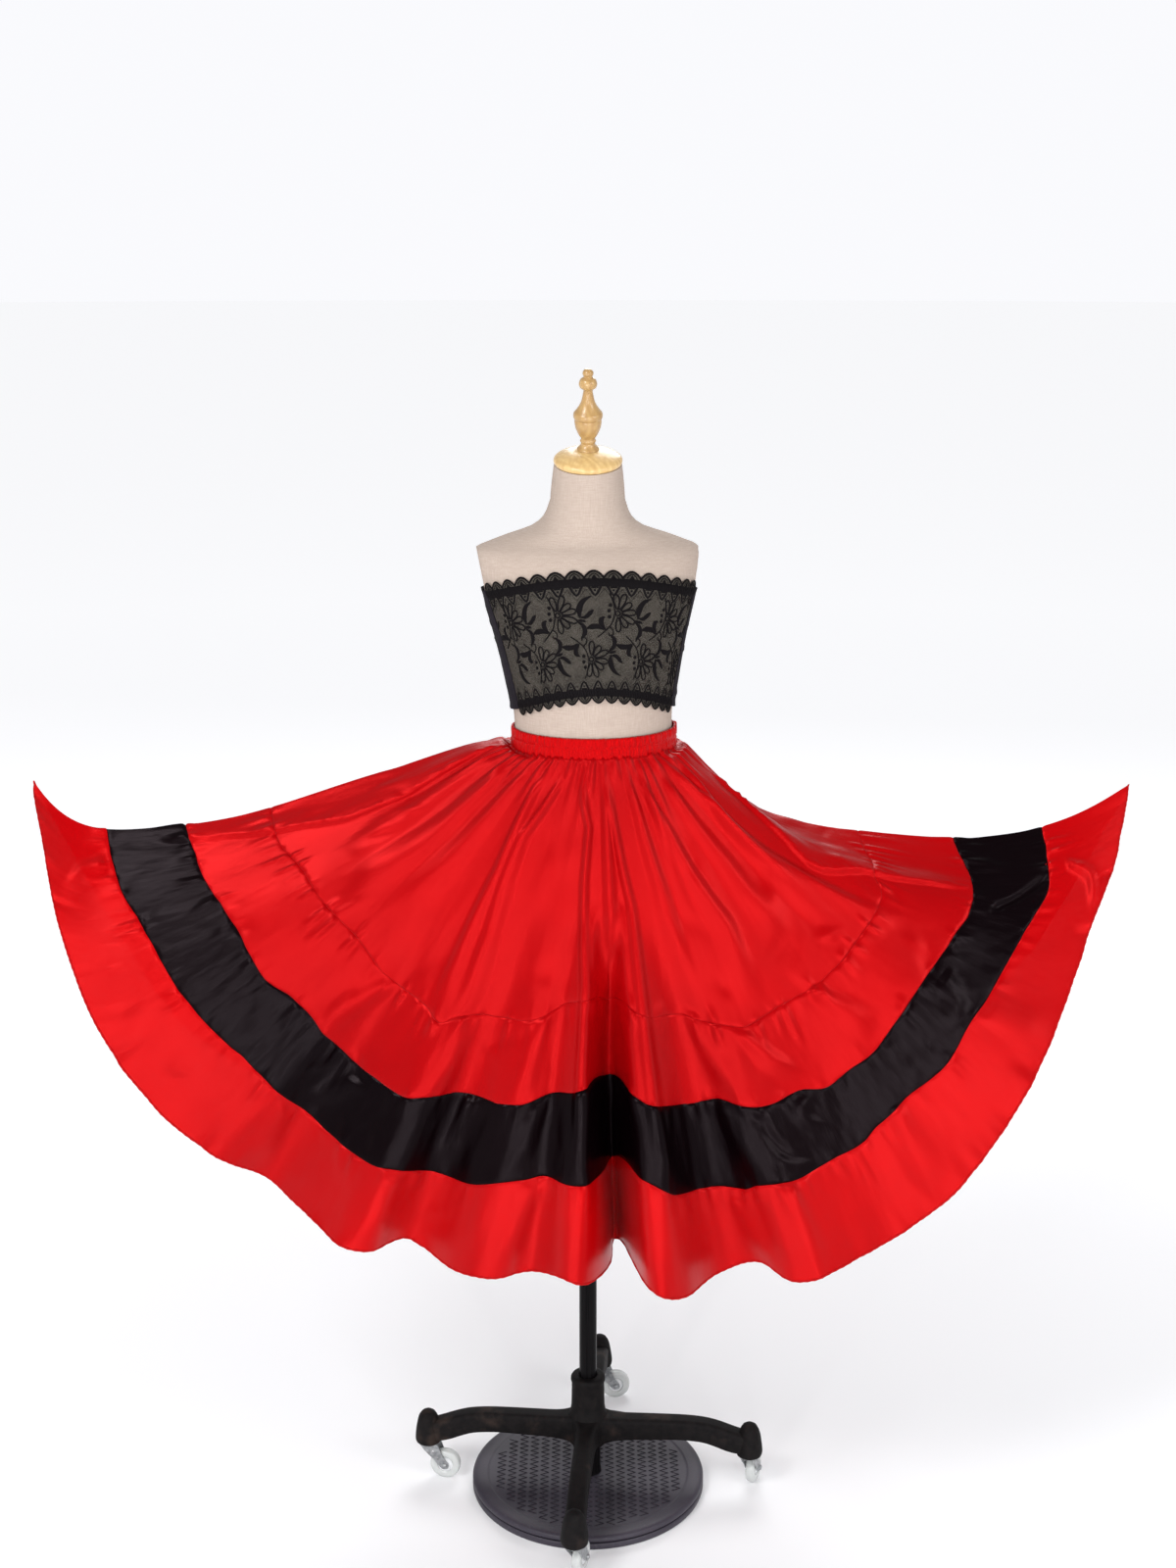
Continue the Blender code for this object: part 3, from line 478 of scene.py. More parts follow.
# main folds: degrees round the hem, half-width in degrees, rise at the hem, start down the cloth
FOLDS = (
    (54, 7.0, -0.035, 0.35), (65, 6.0, 0.034, 0.3), (71, 5.0, -0.022, 0.45),
    (79, 6.5, 0.03, 0.2), (88, 5.0, 0.042, 0.28), (93, 4.5, -0.105, 0.3),
    (99, 6.5, 0.05, 0.28), (108, 6.5, -0.03, 0.3), (116, 6.0, 0.02, 0.4),
    (127, 8.0, -0.012, 0.4), (146, 9.0, 0.012, 0.4), (215, 10.0, 0.03, 0.25),
    (232, 9.0, -0.025, 0.3), (248, 9.0, 0.035, 0.2), (262, 8.0, -0.03, 0.2),
    (276, 8.0, 0.04, 0.15), (292, 9.0, -0.025, 0.25), (308, 10.0, 0.03, 0.25),
    (325, 9.0, -0.015, 0.35),
)

TORSO_COLUMNS = ("z", "width", "depth", "back")
TORSO = named_rows(TORSO_COLUMNS, (
    (0.8, 0.083, 0.064, 0.0), (0.806, 0.09, 0.07, 0.0),
    (0.825, 0.096, 0.0755, 0.001), (0.86, 0.0985, 0.0785, 0.002),
    (0.9, 0.097, 0.078, 0.001), (0.95, 0.0935, 0.0765, 0.0),
    (1.0, 0.0925, 0.076, 0.0), (1.03, 0.0935, 0.077, 0.0),
    (1.07, 0.1, 0.081, 0.001), (1.11, 0.108, 0.085, 0.002),
    (1.15, 0.1182, 0.085, 0.004), (1.18, 0.1265, 0.0795, 0.006),
    (1.2055, 0.133, 0.069, 0.009), (1.2165, 0.13, 0.061, 0.01),
    (1.2225, 0.116, 0.056, 0.011), (1.231, 0.093, 0.052, 0.011),
    (1.24, 0.066, 0.049, 0.01), (1.252, 0.051, 0.0465, 0.008),
    (1.272, 0.043, 0.043, 0.005),
))
ARMHOLE_X = 0.1283
ARMHOLE_TOP = 1.2165
ARMHOLE_LEAN = 0.155
NECK_TILT = math.radians(15)
NECK_TOP = 1.313
NECK_RADIUS = 0.0388


def blend_rows(table, key, value, column):
    """Smooth value of a column between a table's rows, by cubic Hermite pieces."""
    last = len(table) - 1
    index = 0
    while index < last - 1 and table[index + 1][key] < value:
        index += 1

    def slope(row):
        if row == 0 or row == last:
            near = max(min(row, last - 1), 0)
            rise = table[near + 1][column] - table[near][column]
            return rise / (table[near + 1][key] - table[near][key])
        rise = table[row + 1][column] - table[row - 1][column]
        return rise / (table[row + 1][key] - table[row - 1][key])

    low, high = table[index], table[index + 1]
    span = high[key] - low[key]
    t = min(max((value - low[key]) / span, 0.0), 1.0)
    start = low[column] * (2 * t**3 - 3 * t**2 + 1) + slope(index) * span * (t**3 - 2 * t**2 + t)
    end = high[column] * (3 * t**2 - 2 * t**3) + slope(index + 1) * span * (t**3 - t**2)
    return start + end


def form_lean(height):
    return TORSO_LEAN * max(ARMHOLE_TOP - height, 0.0)


def waist_place(x, y, z):
    """Places round the waist, turned and leant with the form."""
    turn_cos, turn_sin = math.cos(FORM_TURN), math.sin(FORM_TURN)
    x, y = x * turn_cos - y * turn_sin + form_lean(WAISTBAND_BOTTOM), x * turn_sin + y * turn_cos
    return np.stack([x, y, z], -1)


def torso_point(angle, height, ease=0.0):
    """A point on the torso; the angle runs from the form's front towards +X."""
    width = blend_rows(TORSO, "z", height, "width") + ease
    depth = blend_rows(TORSO, "z", height, "depth") + ease
    facet = ARMHOLE_X - ARMHOLE_LEAN * (ARMHOLE_TOP - height) + ease
    x = max(min(width * math.sin(angle), facet), -facet)
    y = -depth * math.cos(angle) + blend_rows(TORSO, "z", height, "back")
    point = Vector((x, y, height))
    point.rotate(Matrix.Rotation(FORM_TURN, 3, "Z"))
    point.x += form_lean(height)
    return point


# ---------------------------------------------------------------- skirt
FRONT_COLUMNS = 440
BACK_COLUMNS = 280
FRONT_SPOKES = [row for row in SPOKES if row["around"] <= 180]
BACK_SPOKES = [row for row in SPOKES if row["around"] >= 180]


# how far each seam and the hem lie from their even places, in millimetres down the cloth
DRIFT_COLUMNS = ("around", "seam_1", "seam_2", "seam_3", "hem")
SEAM_DRIFT = named_rows(DRIFT_COLUMNS, (
    (0, -10, -1, 10, 1), (8, -4, -5, 8, -5), (18, -5, -1, 1, -3), (28, -1, 0, 0, -3),
    (36, 0, 8, -2, 0), (42, 2, 0, -6, -2), (49, 10, 8, -2, -8), (55, 11, 14, 5, -8),
    (60, 13, 14, 6, -8), (63.5, 24, 14, 4, -4), (66, 11, 8, 0, -7), (70, 9, 5, 9, -11),
    (74, 10, 5, 12, -2), (79, 9, 5, -2, -2), (84, -3, -3, -2, -2), (87, -9, -7, -1, -10),
    (90, -8, -15, 2, 4), (92.5, 1, -2, 12, 10), (96, -8, -9, -12, -6), (99, -1, -4, -12, -1),
    (102, 3, 0, 4, 4), (107, 2, 6, 11, 2), (111, 5, -3, 10, -8), (113, 8, -1, 0, 2),
    (116, 11, 3, -3, 4), (119, 15, 4, -2, 4), (123, 10, 0, -6, 7), (127, 4, 10, -6, 10),
    (131, 2, 3, -18, 7), (136, 2, 3, -24, 3), (141, 4, 0, -12, 0), (147, 8, 3, -11, 1),
    (151, 12, 10, -1, 4), (156, 14, 22, 9, 3), (161, -5, 33, 20, 1), (167, -10, 30, 33, 3),
    (173, -18, 15, 25, 2), (180, -22, 2, 15, 3), (200, -10, 4, 3, 0), (225, 6, -5, 5, 4),
    (250, -5, 6, -4, -5), (270, 5, -4, 6, 5), (290, -6, 5, -5, -4), (315, 5, -6, 4, 3),
    (340, -6, 0, 6, -3), (360, -10, -1, 10, 1),
))


def tier_rows(length, step=0.0048):
    """Distances down a tier, closer together at its two seams."""
    edge = [0.0, 0.0014, 0.0032, 0.006]
    count = max(int((length - 2 * edge[-1]) / step), 2)
    middle = [edge[-1] + (length - 2 * edge[-1]) * i / count for i in range(1, count)]
    return edge + middle + [length - e for e in reversed(edge)]


def smooth_step(value):
    t = np.clip(value, 0.0, 1.0)
    return t * t * (3 - 2 * t)


class Skirt:
    """The skirt's whole surface as one grid, from the waist to the hem."""

    def __init__(self):
        front = np.linspace(0, 180, FRONT_COLUMNS, endpoint=False)
        back = np.linspace(180, 360, BACK_COLUMNS, endpoint=False)
        self.around = np.concatenate([front, back])
        self.slices = {}
        downs = []
        above = 0.0
        for tier, length in TIER_LENGTHS.items():
            rows = [(above + row) / SKIRT_LENGTH for row in tier_rows(length)]
            self.slices[tier] = slice(len(downs), len(downs) + len(rows))
            downs.extend(rows)
            above += length
        self.down = np.array(downs)
        self.grid = self.base()
        step = np.linalg.norm(np.roll(self.grid, -1, axis=1) - self.grid, axis=2)
        self.ring_length = step.sum(axis=1)
        self.metres_per_degree = self.ring_length / 360.0
        self.relief = np.zeros(self.grid.shape[:2])

    def base(self):
        values = []
        for around in self.around:
            table = FRONT_SPOKES if around < 180 else BACK_SPOKES
            values.append([blend_rows(table, "around", around, c) for c in SPOKE_COLUMNS[1:]])
        fan, reach, forward, sag, low, spread = np.array(values).T
        fan = np.radians(fan)
        sag = np.maximum(sag, 0.0)
        hem = np.stack([-reach * np.cos(fan), -forward, WAISTBAND_BOTTOM - reach * np.sin(fan)], 1)
        angle = np.radians(self.around)
        waist = waist_place(-WAIST_HALF_WIDTH * np.cos(angle), -WAIST_HALF_DEPTH * np.sin(angle),
                            WAISTBAND_BOTTOM - SEAM_GAP - CLOTH * np.abs(np.cos(angle)))
        down = self.drifted()
        share = (down + spread * down * (1 - down))[:, :, None]
        grid = waist * (1 - share) + hem * share
        skewed = down ** (np.log(0.5) / np.log(low))
        grid[:, :, 2] -= sag * (1 - np.abs(2 * skewed - 1) ** SAG_FLATNESS)
        outward = np.where(self.around <= 180, -1.0, 1.0)
        grid[:, :, 1] += outward * self.folds()
        return grid

    def drifted(self):
        """Each place's distance down, moved so that the seams wander as sewn ones do."""
        rng = random.Random(2)
        even = [0.0, *self.seams(), 1.0]
        down = np.empty((len(self.down), len(self.around)))
        jitter = {}
        for name in DRIFT_COLUMNS[1:]:
            steps = [rng.uniform(-1.0, 1.0) for _ in range(181)]
            jitter[name] = np.interp(self.around, np.arange(181) * 2.0, steps[:-1] + steps[:1])
        for column, around in enumerate(self.around):
            moved = [0.0]
            for place, name in zip(even[1:], DRIFT_COLUMNS[1:]):
                drift = blend_rows(SEAM_DRIFT, "around", around, name) + jitter[name][column]
                moved.append(place + 0.001 * drift / SKIRT_LENGTH)
            down[:, column] = np.interp(self.down, even, moved)
        return down

    def folds(self):
        total = np.zeros((len(self.down), len(self.around)))
        for around, width, rise, start in FOLDS:
            across = (self.around - around) / width
            bump = np.where(np.abs(across) < 1, np.cos(0.5 * np.pi * across) ** 2, 0.0)
            growth = np.clip((self.down - start) / (1 - start), 0, 1)
            total += rise * growth[:, None] * bump
        return total

    def crease(self, path, widths, rise, attack=0.15, release=0.6, lean=1.0, sharp=1.0):
        """A soft ridge, or a trough if the rise is negative, along a path of (around, down).

        widths are the half-widths at its two ends; lean is how much wider it is on the side of
        the higher degrees.
        """
        arounds, downs = zip(*path)
        rows = np.where((self.down >= downs[0]) & (self.down <= downs[-1]))[0]
        if len(rows) < 2:
            return
        t = (self.down[rows] - downs[0]) / (downs[-1] - downs[0])
        centre = np.interp(self.down[rows], downs, arounds)
        half = (widths[0] + (widths[1] - widths[0]) * t) / self.metres_per_degree[rows]
        middle = 0.5 * (min(arounds) + max(arounds))
        reach = (max(arounds) - min(arounds)) / 2 + half.max() * max(lean, 1.0)
        apart = (self.around - middle + 180) % 360 - 180
        columns = np.where(np.abs(apart) <= reach)[0]
        across = (apart[columns][None, :] - (centre - middle)[:, None]) / half[:, None]
        across = np.where(across > 0, across / lean, across)
        ridge = np.where(np.abs(across) < 1, np.cos(0.5 * np.pi * across) ** 2, 0.0) ** sharp
        along = smooth_step(t / attack) * smooth_step((1 - t) / release)
        self.relief[np.ix_(rows, columns)] += rise * along[:, None] * ridge

    def normals(self):
        across = np.roll(self.grid, -1, axis=1) - np.roll(self.grid, 1, axis=1)
        down = np.gradient(self.grid, axis=0)
        # rows that repeat at a seam have no length between them
        normal = np.cross(down, across)
        size = np.linalg.norm(normal, axis=2, keepdims=True)
        return normal / np.maximum(size, 1e-12)

    def seams(self):
        return np.cumsum(list(TIER_LENGTHS.values()))[:-1] / SKIRT_LENGTH


# Longer ridges and troughs.  path: places round and down the cloth in turn; half-widths at its
# two ends and rise in millimetres; lean: how much wider the side of the higher degrees is
CREASE_COLUMNS = ("path", "upper", "lower", "rise", "lean")
LONG_CREASES = named_rows(CREASE_COLUMNS, (
    # narrow ridges that the gathers run out into, on the front
    ((56, 0.02, 58, 0.12, 60, 0.2, 61, 0.33, 62.5, 0.52), 4, 12, 6.5, 1.6),
    ((69, 0.02, 62, 0.13, 63, 0.19, 65, 0.3, 67, 0.5), 4, 12, 6.5, 1.5),
    ((79, 0.01, 86, 0.13, 86, 0.24, 88, 0.45, 88, 0.62, 89.5, 1.01), 4, 11, 7, 1),
    ((93, 0.03, 94, 0.31, 92, 0.47, 92, 0.66), 5, 16, 6, 1),
    ((94, 0.02, 97, 0.15, 100, 0.27, 100, 0.5, 100.5, 1.01), 4, 14, 6.5, 1.3),
    ((106, 0.02, 108, 0.08, 110, 0.23, 111, 0.48), 5, 22, 6, 0.8),
    ((137, 0.02, 142, 0.12, 143, 0.19, 145, 0.35, 147, 0.48), 6, 26, 8, 0.7),
    ((112, 0.02, 118, 0.1, 124, 0.3, 122, 0.48), 5, 26, 6, 0.7),
    ((128, 0.03, 133, 0.2, 136, 0.45), 6, 30, 5, 0.8),
    ((146, 0.03, 143, 0.14, 148, 0.3, 154, 0.56), 6, 24, 7.5, 0.6),
    ((30, 0.03, 34, 0.09, 34, 0.25, 33, 0.47), 6, 34, 6, 1),
    ((46, 0.02, 45, 0.2, 43, 0.45), 5, 30, 5, 1.2), ((20, 0.03, 21, 0.2, 24, 0.44), 6, 30, 5, 1),
    # below the first seam
    ((81, 0.47, 80, 0.52, 79, 0.66), 10, 16, 4.5, 1),
    ((67, 0.47, 67.5, 0.55, 68, 0.66), 9, 18, 5, 1),
    ((109.5, 0.46, 111, 0.53, 112.5, 0.63), 9, 18, 5, 1.2),
    ((118, 0.48, 120, 0.53, 124, 0.63), 10, 20, 5, 0.8),
    ((52, 0.48, 49, 0.56, 47, 0.66), 10, 22, 5, 1.2),
    ((133, 0.47, 136, 0.55, 138, 0.64), 10, 22, 5, 1),
    # on the black band
    ((88, 0.64, 88, 0.81), 8, 10, 5.5, 1), ((82, 0.65, 80, 0.81), 10, 14, 5, 1.2),
    ((73, 0.65, 71, 0.82), 12, 18, 5, 1), ((100, 0.64, 101.5, 0.82), 10, 16, 5, 1.2),
    ((111, 0.65, 113.5, 0.81), 10, 18, 4.5, 1.4), ((57, 0.67, 52, 0.8), 14, 20, 4.5, 1),
    ((116, 0.66, 116.5, 0.7, 118, 0.755, 121, 0.785, 125, 0.8), 10, 12, -5, 0.8),
    ((123, 0.66, 122, 0.7, 124, 0.76), 12, 16, 5, 1), ((150, 0.68, 147, 0.8), 14, 18, 5, 1),
    ((163, 0.7, 166, 0.745, 170, 0.8, 174, 0.84), 12, 16, -6, 0.7),
    # on the flounce
    ((83, 0.81, 81, 0.92, 80.5, 1.01), 12, 18, 6, 1.4), ((110, 0.83, 111.5, 1.01), 14, 22, 5, 1),
    ((117, 0.81, 117, 1.01), 12, 20, 6, 1), ((66, 0.82, 66, 1.01), 14, 26, 6, 1),
    ((50, 0.82, 53, 1.01), 16, 30, 5, 1), ((133, 0.8, 132, 1.01), 16, 30, 5.5, 1),
    ((150, 0.82, 150, 1.01), 18, 30, 5, 1), ((5, 0.83, 7, 0.9, 12, 0.98), 10, 20, 5, 2),
    ((172, 0.86, 169, 0.93, 163, 1), 12, 24, 6, 0.6),
    # the back, in the same manner
    ((212, 0.03, 208, 0.3, 205, 0.8), 5, 28, 5.5, 1.2),
    ((228, 0.02, 226, 0.3, 222, 0.9), 5, 24, 6, 0.8),
    ((241, 0.03, 240, 0.25, 238, 0.52), 5, 18, 6, 1.3),
    ((251, 0.02, 254, 0.2, 254, 1.01), 4, 16, 6.5, 1),
    ((264, 0.03, 266, 0.3, 268, 0.55), 5, 16, 6, 1.2),
    ((272, 0.02, 275, 0.25, 275, 1.01), 4, 14, 6.5, 1),
    ((286, 0.02, 288, 0.25, 290, 0.6), 5, 20, 6, 0.8),
    ((300, 0.03, 303, 0.3, 305, 0.85), 5, 28, 5.5, 1.2),
    ((316, 0.02, 319, 0.3, 324, 0.75), 5, 30, 5.5, 1), ((246, 0.49, 243, 0.66), 10, 18, 5, 1),
    ((283, 0.48, 286, 0.66), 10, 18, 5, 1.2), ((262, 0.65, 261, 0.82), 10, 16, 5, 1),
    ((295, 0.66, 298, 0.82), 12, 20, 5, 1), ((233, 0.66, 230, 0.82), 12, 20, 5, 1),
    ((268, 0.82, 266, 1.01), 12, 20, 6, 1), ((310, 0.82, 312, 1.01), 16, 28, 5.5, 1),
    ((218, 0.82, 216, 1.01), 16, 28, 5.5, 1),
))
# the side seams: on the left it lies below the ridge, on the right the cloth laps over itself
SIDE_FOLDS = (
    {"steep": 0.0035, "lean": 0.11, "path": (
        (9.5, 0), (12.3, 0.11), (13.9, 0.23), (12.3, 0.34), (8.6, 0.41), (7, 0.47), (4.1, 0.57),
        (3.2, 0.66), (1.5, 0.74))},
    {"steep": 0.0040, "lean": 9.0, "path": (
        (166, 0.06), (158.5, 0.2), (154, 0.27), (152.6, 0.31), (153.5, 0.34), (157.5, 0.39),
        (160, 0.44), (161.5, 0.5), (165, 0.57), (167, 0.65))},
)


SIDE_TUCKS = 26               # on each side fold
WAIST_GATHERS = 62
SEAM_PUCKERS = (130, 165, 190)
SOFT_HOLLOWS = 340
HEM_WAVES = 96


def shape_skirt():
    skirt = Skirt()
    rng = random.Random(11)
    for row in LONG_CREASES:
        path = list(zip(row["path"][::2], row["path"][1::2]))
        from_waist = path[0][1] < 0.04
        wider, softer = (0.0011, 0.00085) if from_waist else (0.00125, 0.00075)
        skirt.crease(path, (wider * row["upper"], wider * row["lower"]), softer * row["rise"],
                     attack=0.1, release=0.45, lean=row["lean"])
    for fold in SIDE_FOLDS:
        wide = fold["steep"] / min(fold["lean"], 1.0)
        skirt.crease(fold["path"], (wide, wide), 0.0048, attack=0.12, release=0.15,
                     lean=fold["lean"])
        for place in range(SIDE_TUCKS):
            t = (place + rng.uniform(0.1, 0.9)) / SIDE_TUCKS
            down = fold["path"][0][1] + t * (fold["path"][-1][1] - fold["path"][0][1])
            around = float(np.interp(down, *reversed(list(zip(*fold["path"])))))
            side = -1.0 if fold["lean"] < 1.0 else 1.0
            end = around + side * rng.uniform(0.8, 2.2)
            skirt.crease(((around, down - 0.004), (end, down + 0.012)), (0.0035, 0.0045),
                         rng.uniform(0.0006, 0.002), attack=0.3, release=0.5)

    # gathers under the waistband, of uneven length
    for number in range(WAIST_GATHERS):
        around = 360.0 * (number + rng.uniform(-0.32, 0.32)) / WAIST_GATHERS
        length = rng.choice((0.05, 0.07, 0.1, 0.16, 0.26)) * rng.uniform(0.8, 1.3)
        drift = rng.uniform(-1.5, 1.5)
        rise = rng.uniform(0.002, 0.004)
        width = rng.uniform(0.0034, 0.005)
        skirt.crease(((around, -0.004), (around + drift, length)), (width, width * 2.4), rise,
                     attack=0.06, release=0.8)

    # puckers below and above each seam
    for count, seam in zip(SEAM_PUCKERS, skirt.seams()):
        for place in range(count):
            around = 360.0 * (place + rng.uniform(-0.4, 0.4)) / count
            width = rng.uniform(0.0036, 0.0066)
            rise = rng.uniform(0.001, 0.0038) * rng.choice((1.0, 0.8, 0.3))
            length = rng.uniform(0.014, 0.06) / SKIRT_LENGTH
            skirt.crease(
                ((around, seam - 0.001), (around + rng.uniform(-0.6, 0.6), seam + length)),
                (width, width * 1.5), rise, attack=0.12, release=0.8)
            if rng.random() < 0.55:
                length = rng.uniform(0.008, 0.03) / SKIRT_LENGTH
                skirt.crease(
                    ((around + rng.uniform(-0.4, 0.4), seam - length), (around, seam + 0.001)),
                    (width * 1.2, width), 0.7 * rise, attack=0.8, release=0.12)
        row_gap = np.abs(skirt.down - seam) * SKIRT_LENGTH
        pulls = [rng.uniform(0.0, 1.0) ** 2 for _ in range(361)]
        pull = np.interp(skirt.around, np.arange(361), pulls)
        skirt.relief -= 0.0012 * np.exp(-(row_gap / 0.002) ** 2)[:, None] * pull

    # soft unevenness of hanging cloth
    for _ in range(SOFT_HOLLOWS):
        down = rng.uniform(0.08, 0.9)
        around = rng.uniform(0, 360)
        length = rng.uniform(0.05, 0.17)
        width = rng.uniform(0.009, 0.022)
        skirt.crease(((around, down), (around + rng.uniform(-4, 4) / (0.3 + down), down + length)),
                     (width, width), rng.uniform(-0.0016, 0.0018), attack=0.5, release=0.5)

    # the hem's own small waves
    for place in range(HEM_WAVES):
        around = 360.0 * (place + rng.uniform(-0.4, 0.4)) / HEM_WAVES
        skirt.crease(((around, 0.995 - rng.uniform(0.03, 0.09)), (around, 1.04)),
                     (0.01, rng.uniform(0.014, 0.024)), rng.uniform(-0.0046, 0.0046),
                     attack=0.9, release=0.1)

    normal = skirt.normals()
    skirt.grid += normal * skirt.relief[:, :, None]

    # the lobe left of the middle fold laps over it
    lap = np.exp(-((skirt.around - 90.6) / 1.7) ** 2)
    skirt.grid[:, :, 0] += 0.017 * smooth_step((skirt.down - 0.6) / 0.4)[:, None] * lap

    # at the sides the gathered cloth puffs up over the band's lower edge before it falls
    side = np.abs(np.cos(np.radians(skirt.around))) ** 3
    swell = smooth_step(skirt.down / 0.022) * (1 - smooth_step((skirt.down - 0.03) / 0.2))
    skirt.grid[:, :, 2] += 0.011 * swell[:, None] * side
    return skirt


# the curved cut of each tier: its lower edge's length
FLAT_LENGTHS = {"tier_1": 1.95, "tier_2": 2.65, "band": 3.35, "flounce": 4.35}


def make_skirt(skirt):
    finishes = {"tier_1": "red", "tier_2": "red", "band": "black", "flounce": "red_single"}
    normal = skirt.normals()
    made = {}
    for tier, rows in skirt.slices.items():
        grid = skirt.grid[rows].copy()
        down = skirt.down[rows]
        if tier == "tier_1":
            # the gathered edge is stitched in behind the band
            inside = grid[0] - normal[0] * 0.0004
            inside[:, :2] *= 0.985
            inside[:, 2] += 0.0045
            grid = np.concatenate([inside[None], grid])
            down = np.concatenate([[down[0] - 0.007], down])
        else:
            # the seam allowance lies inside the tier above
            inside = grid[0] - normal[rows.start] * 0.0002
            tucked = inside + (skirt.grid[rows.start - 3] - skirt.grid[rows.start - 1]) * 1.2
            tucked -= normal[rows.start] * 0.0009
            grid = np.concatenate([tucked[None], inside[None], grid[1:]])
            down = np.concatenate([[down[0] - 0.006], down])
        wrapped = np.append(skirt.around, 360.0) / 360.0 * FLAT_LENGTHS[tier]
        uv = np.stack(np.meshgrid(wrapped, down * SKIRT_LENGTH), -1)
        name = f"skirt_{tier}_cloth"
        mesh = grid_mesh(name, grid, ring=True, uv=uv)
        made[tier] = finish_piece(
            name, mesh, finishes[tier], "satin_black" if tier == "band" else "satin_red",
            (f"skirt_{tier}_front", f"skirt_{tier}_back"), angle=80.0, wall=0.0004)
    return made


def make_hem(skirt):
    """The overlocked edge: a thin corded roll along the hem with the thread's loops."""
    sides, cord_radius = 6, 0.001
    edge = skirt.grid[-1]
    normal = skirt.normals()[-1]
    fall = edge - skirt.grid[-2]
    fall /= np.linalg.norm(fall, axis=1, keepdims=True)
    line = np.empty((2 * len(edge), 3))
    line[0::2] = edge
    line[1::2] = 0.5 * (edge + np.roll(edge, -1, axis=0))
    out = np.repeat(normal, 2, axis=0)
    drop = np.repeat(fall, 2, axis=0)
    rings = []
    for side in range(sides + 1):
        angle = TAU * side / sides
        radius = cord_radius * (1.0 + 0.18 * np.cos(np.arange(len(line)) * math.pi / 2.0))
        around = drop * math.cos(angle) * 1.3 + out * math.sin(angle)
        rings.append(line + out * 0.0003 + around * radius[:, None])
    grid = np.stack(rings)
    steps = np.linalg.norm(np.diff(line, axis=0), axis=1)
    lengths = np.concatenate([[0], np.cumsum(steps), [FLAT_LENGTHS["flounce"]]])
    uv = np.stack(np.meshgrid(lengths, np.arange(sides + 1) * 0.001), -1)
    mesh = grid_mesh("skirt_hem_overlock", grid, ring=True, uv=uv)
    return finish_piece("skirt_hem_overlock", mesh, "red_thread", "satin_red", angle=80.0)


def make_waistband():
    """A shirred elastic casing: fine uneven ruffles, pinched along its middle stitching."""
    rng = random.Random(5)
    columns, rows = 900, 31
    angle = np.arange(columns) * TAU / columns
    height = np.linspace(1.0, 0.0, rows)
    ruffles = []
    for _ in range(3):
        wave = np.zeros(columns)
        count = 150
        for number in range(count):
            centre = TAU * (number + rng.uniform(-0.35, 0.35)) / count
            apart = (angle - centre + math.pi) % TAU - math.pi
            width = TAU / count * rng.uniform(0.28, 0.5)
            wave += rng.uniform(0.5, 1.0) * np.exp(-(apart / width) ** 2)
        ruffles.append(wave - wave.mean())
    shares = height[:, None]
    top = smooth_step((shares - 0.5) / 0.25)
    low = smooth_step((0.42 - shares) / 0.3)
    pattern = ruffles[0] * top + ruffles[1] * low + ruffles[2] * (1 - top) * (1 - low)
    pinch = np.exp(-((shares - 0.52) / 0.05) ** 2) + np.exp(-((shares - 0.02) / 0.05) ** 2)
    swell = 0.0006 * np.sin(np.pi * np.clip(shares * 2 % 1.0, 0, 1)) ** 0.7
    relief = 0.0017 * pattern * (1 - 0.6 * pinch) + swell - 0.0006 * pinch - 0.0006
    # the two edges turn in over the elastic
    relief -= 0.0022 * (1 - smooth_step((1.0 - shares) / 0.07)) ** 2
    x = (WAIST_HALF_WIDTH + relief) * np.cos(angle)
    y = (WAIST_HALF_DEPTH + relief) * np.sin(angle)
    z = WAISTBAND_BOTTOM + 0.0005 + (WAISTBAND_HEIGHT - 0.0005) * shares
    z = z + 0.0007 * ruffles[0] * smooth_step((shares - 0.85) / 0.15)
    wrapped = np.append(angle, TAU) / TAU * WAISTBAND_CLOTH
    uv = np.stack(np.meshgrid(wrapped, height * WAISTBAND_HEIGHT), -1)
    mesh = grid_mesh("skirt_waistband_gathered", waist_place(x, y, z), ring=True, uv=uv)
    return finish_piece("skirt_waistband_gathered", mesh, "shirred", "satin_red",
                        ("skirt_waistband",), angle=80.0, wall=-0.001)


# ---------------------------------------------------------------- dress form
def neck_frame():
    return Matrix.Translation((0.0, 0.0, NECK_TOP)) @ Matrix.Rotation(NECK_TILT, 4, "X")


def make_torso():
    sides = 128
    heights = []
    for low, high in zip(TORSO[:-1], TORSO[1:]):
        steps = max(int(round((high["z"] - low["z"]) / 0.006)), 2)
        heights.extend(low["z"] + (high["z"] - low["z"]) * i / steps for i in range(steps))
    heights.append(TORSO[-1]["z"])
    rings = [[torso_point(TAU * i / sides, z) for i in range(sides)] for z in heights]
    last = rings[-1]
    for step in range(1, 9):
        share = step / 8
        ring = []
        for i in range(sides):
            angle = TAU * i / sides
            radius = NECK_RADIUS + 0.002 * (1.0 - share)
            top = Vector((radius * math.sin(angle), -radius * math.cos(angle), -SEAM_GAP))
            ring.append(last[i].lerp(neck_frame() @ top, share))
        rings.append(ring)
    pile = Pile()
    loft(pile, rings)
    finish_piece("form_torso_linen", pile, "linen", "linen", ("form_torso",), angle=38.0)


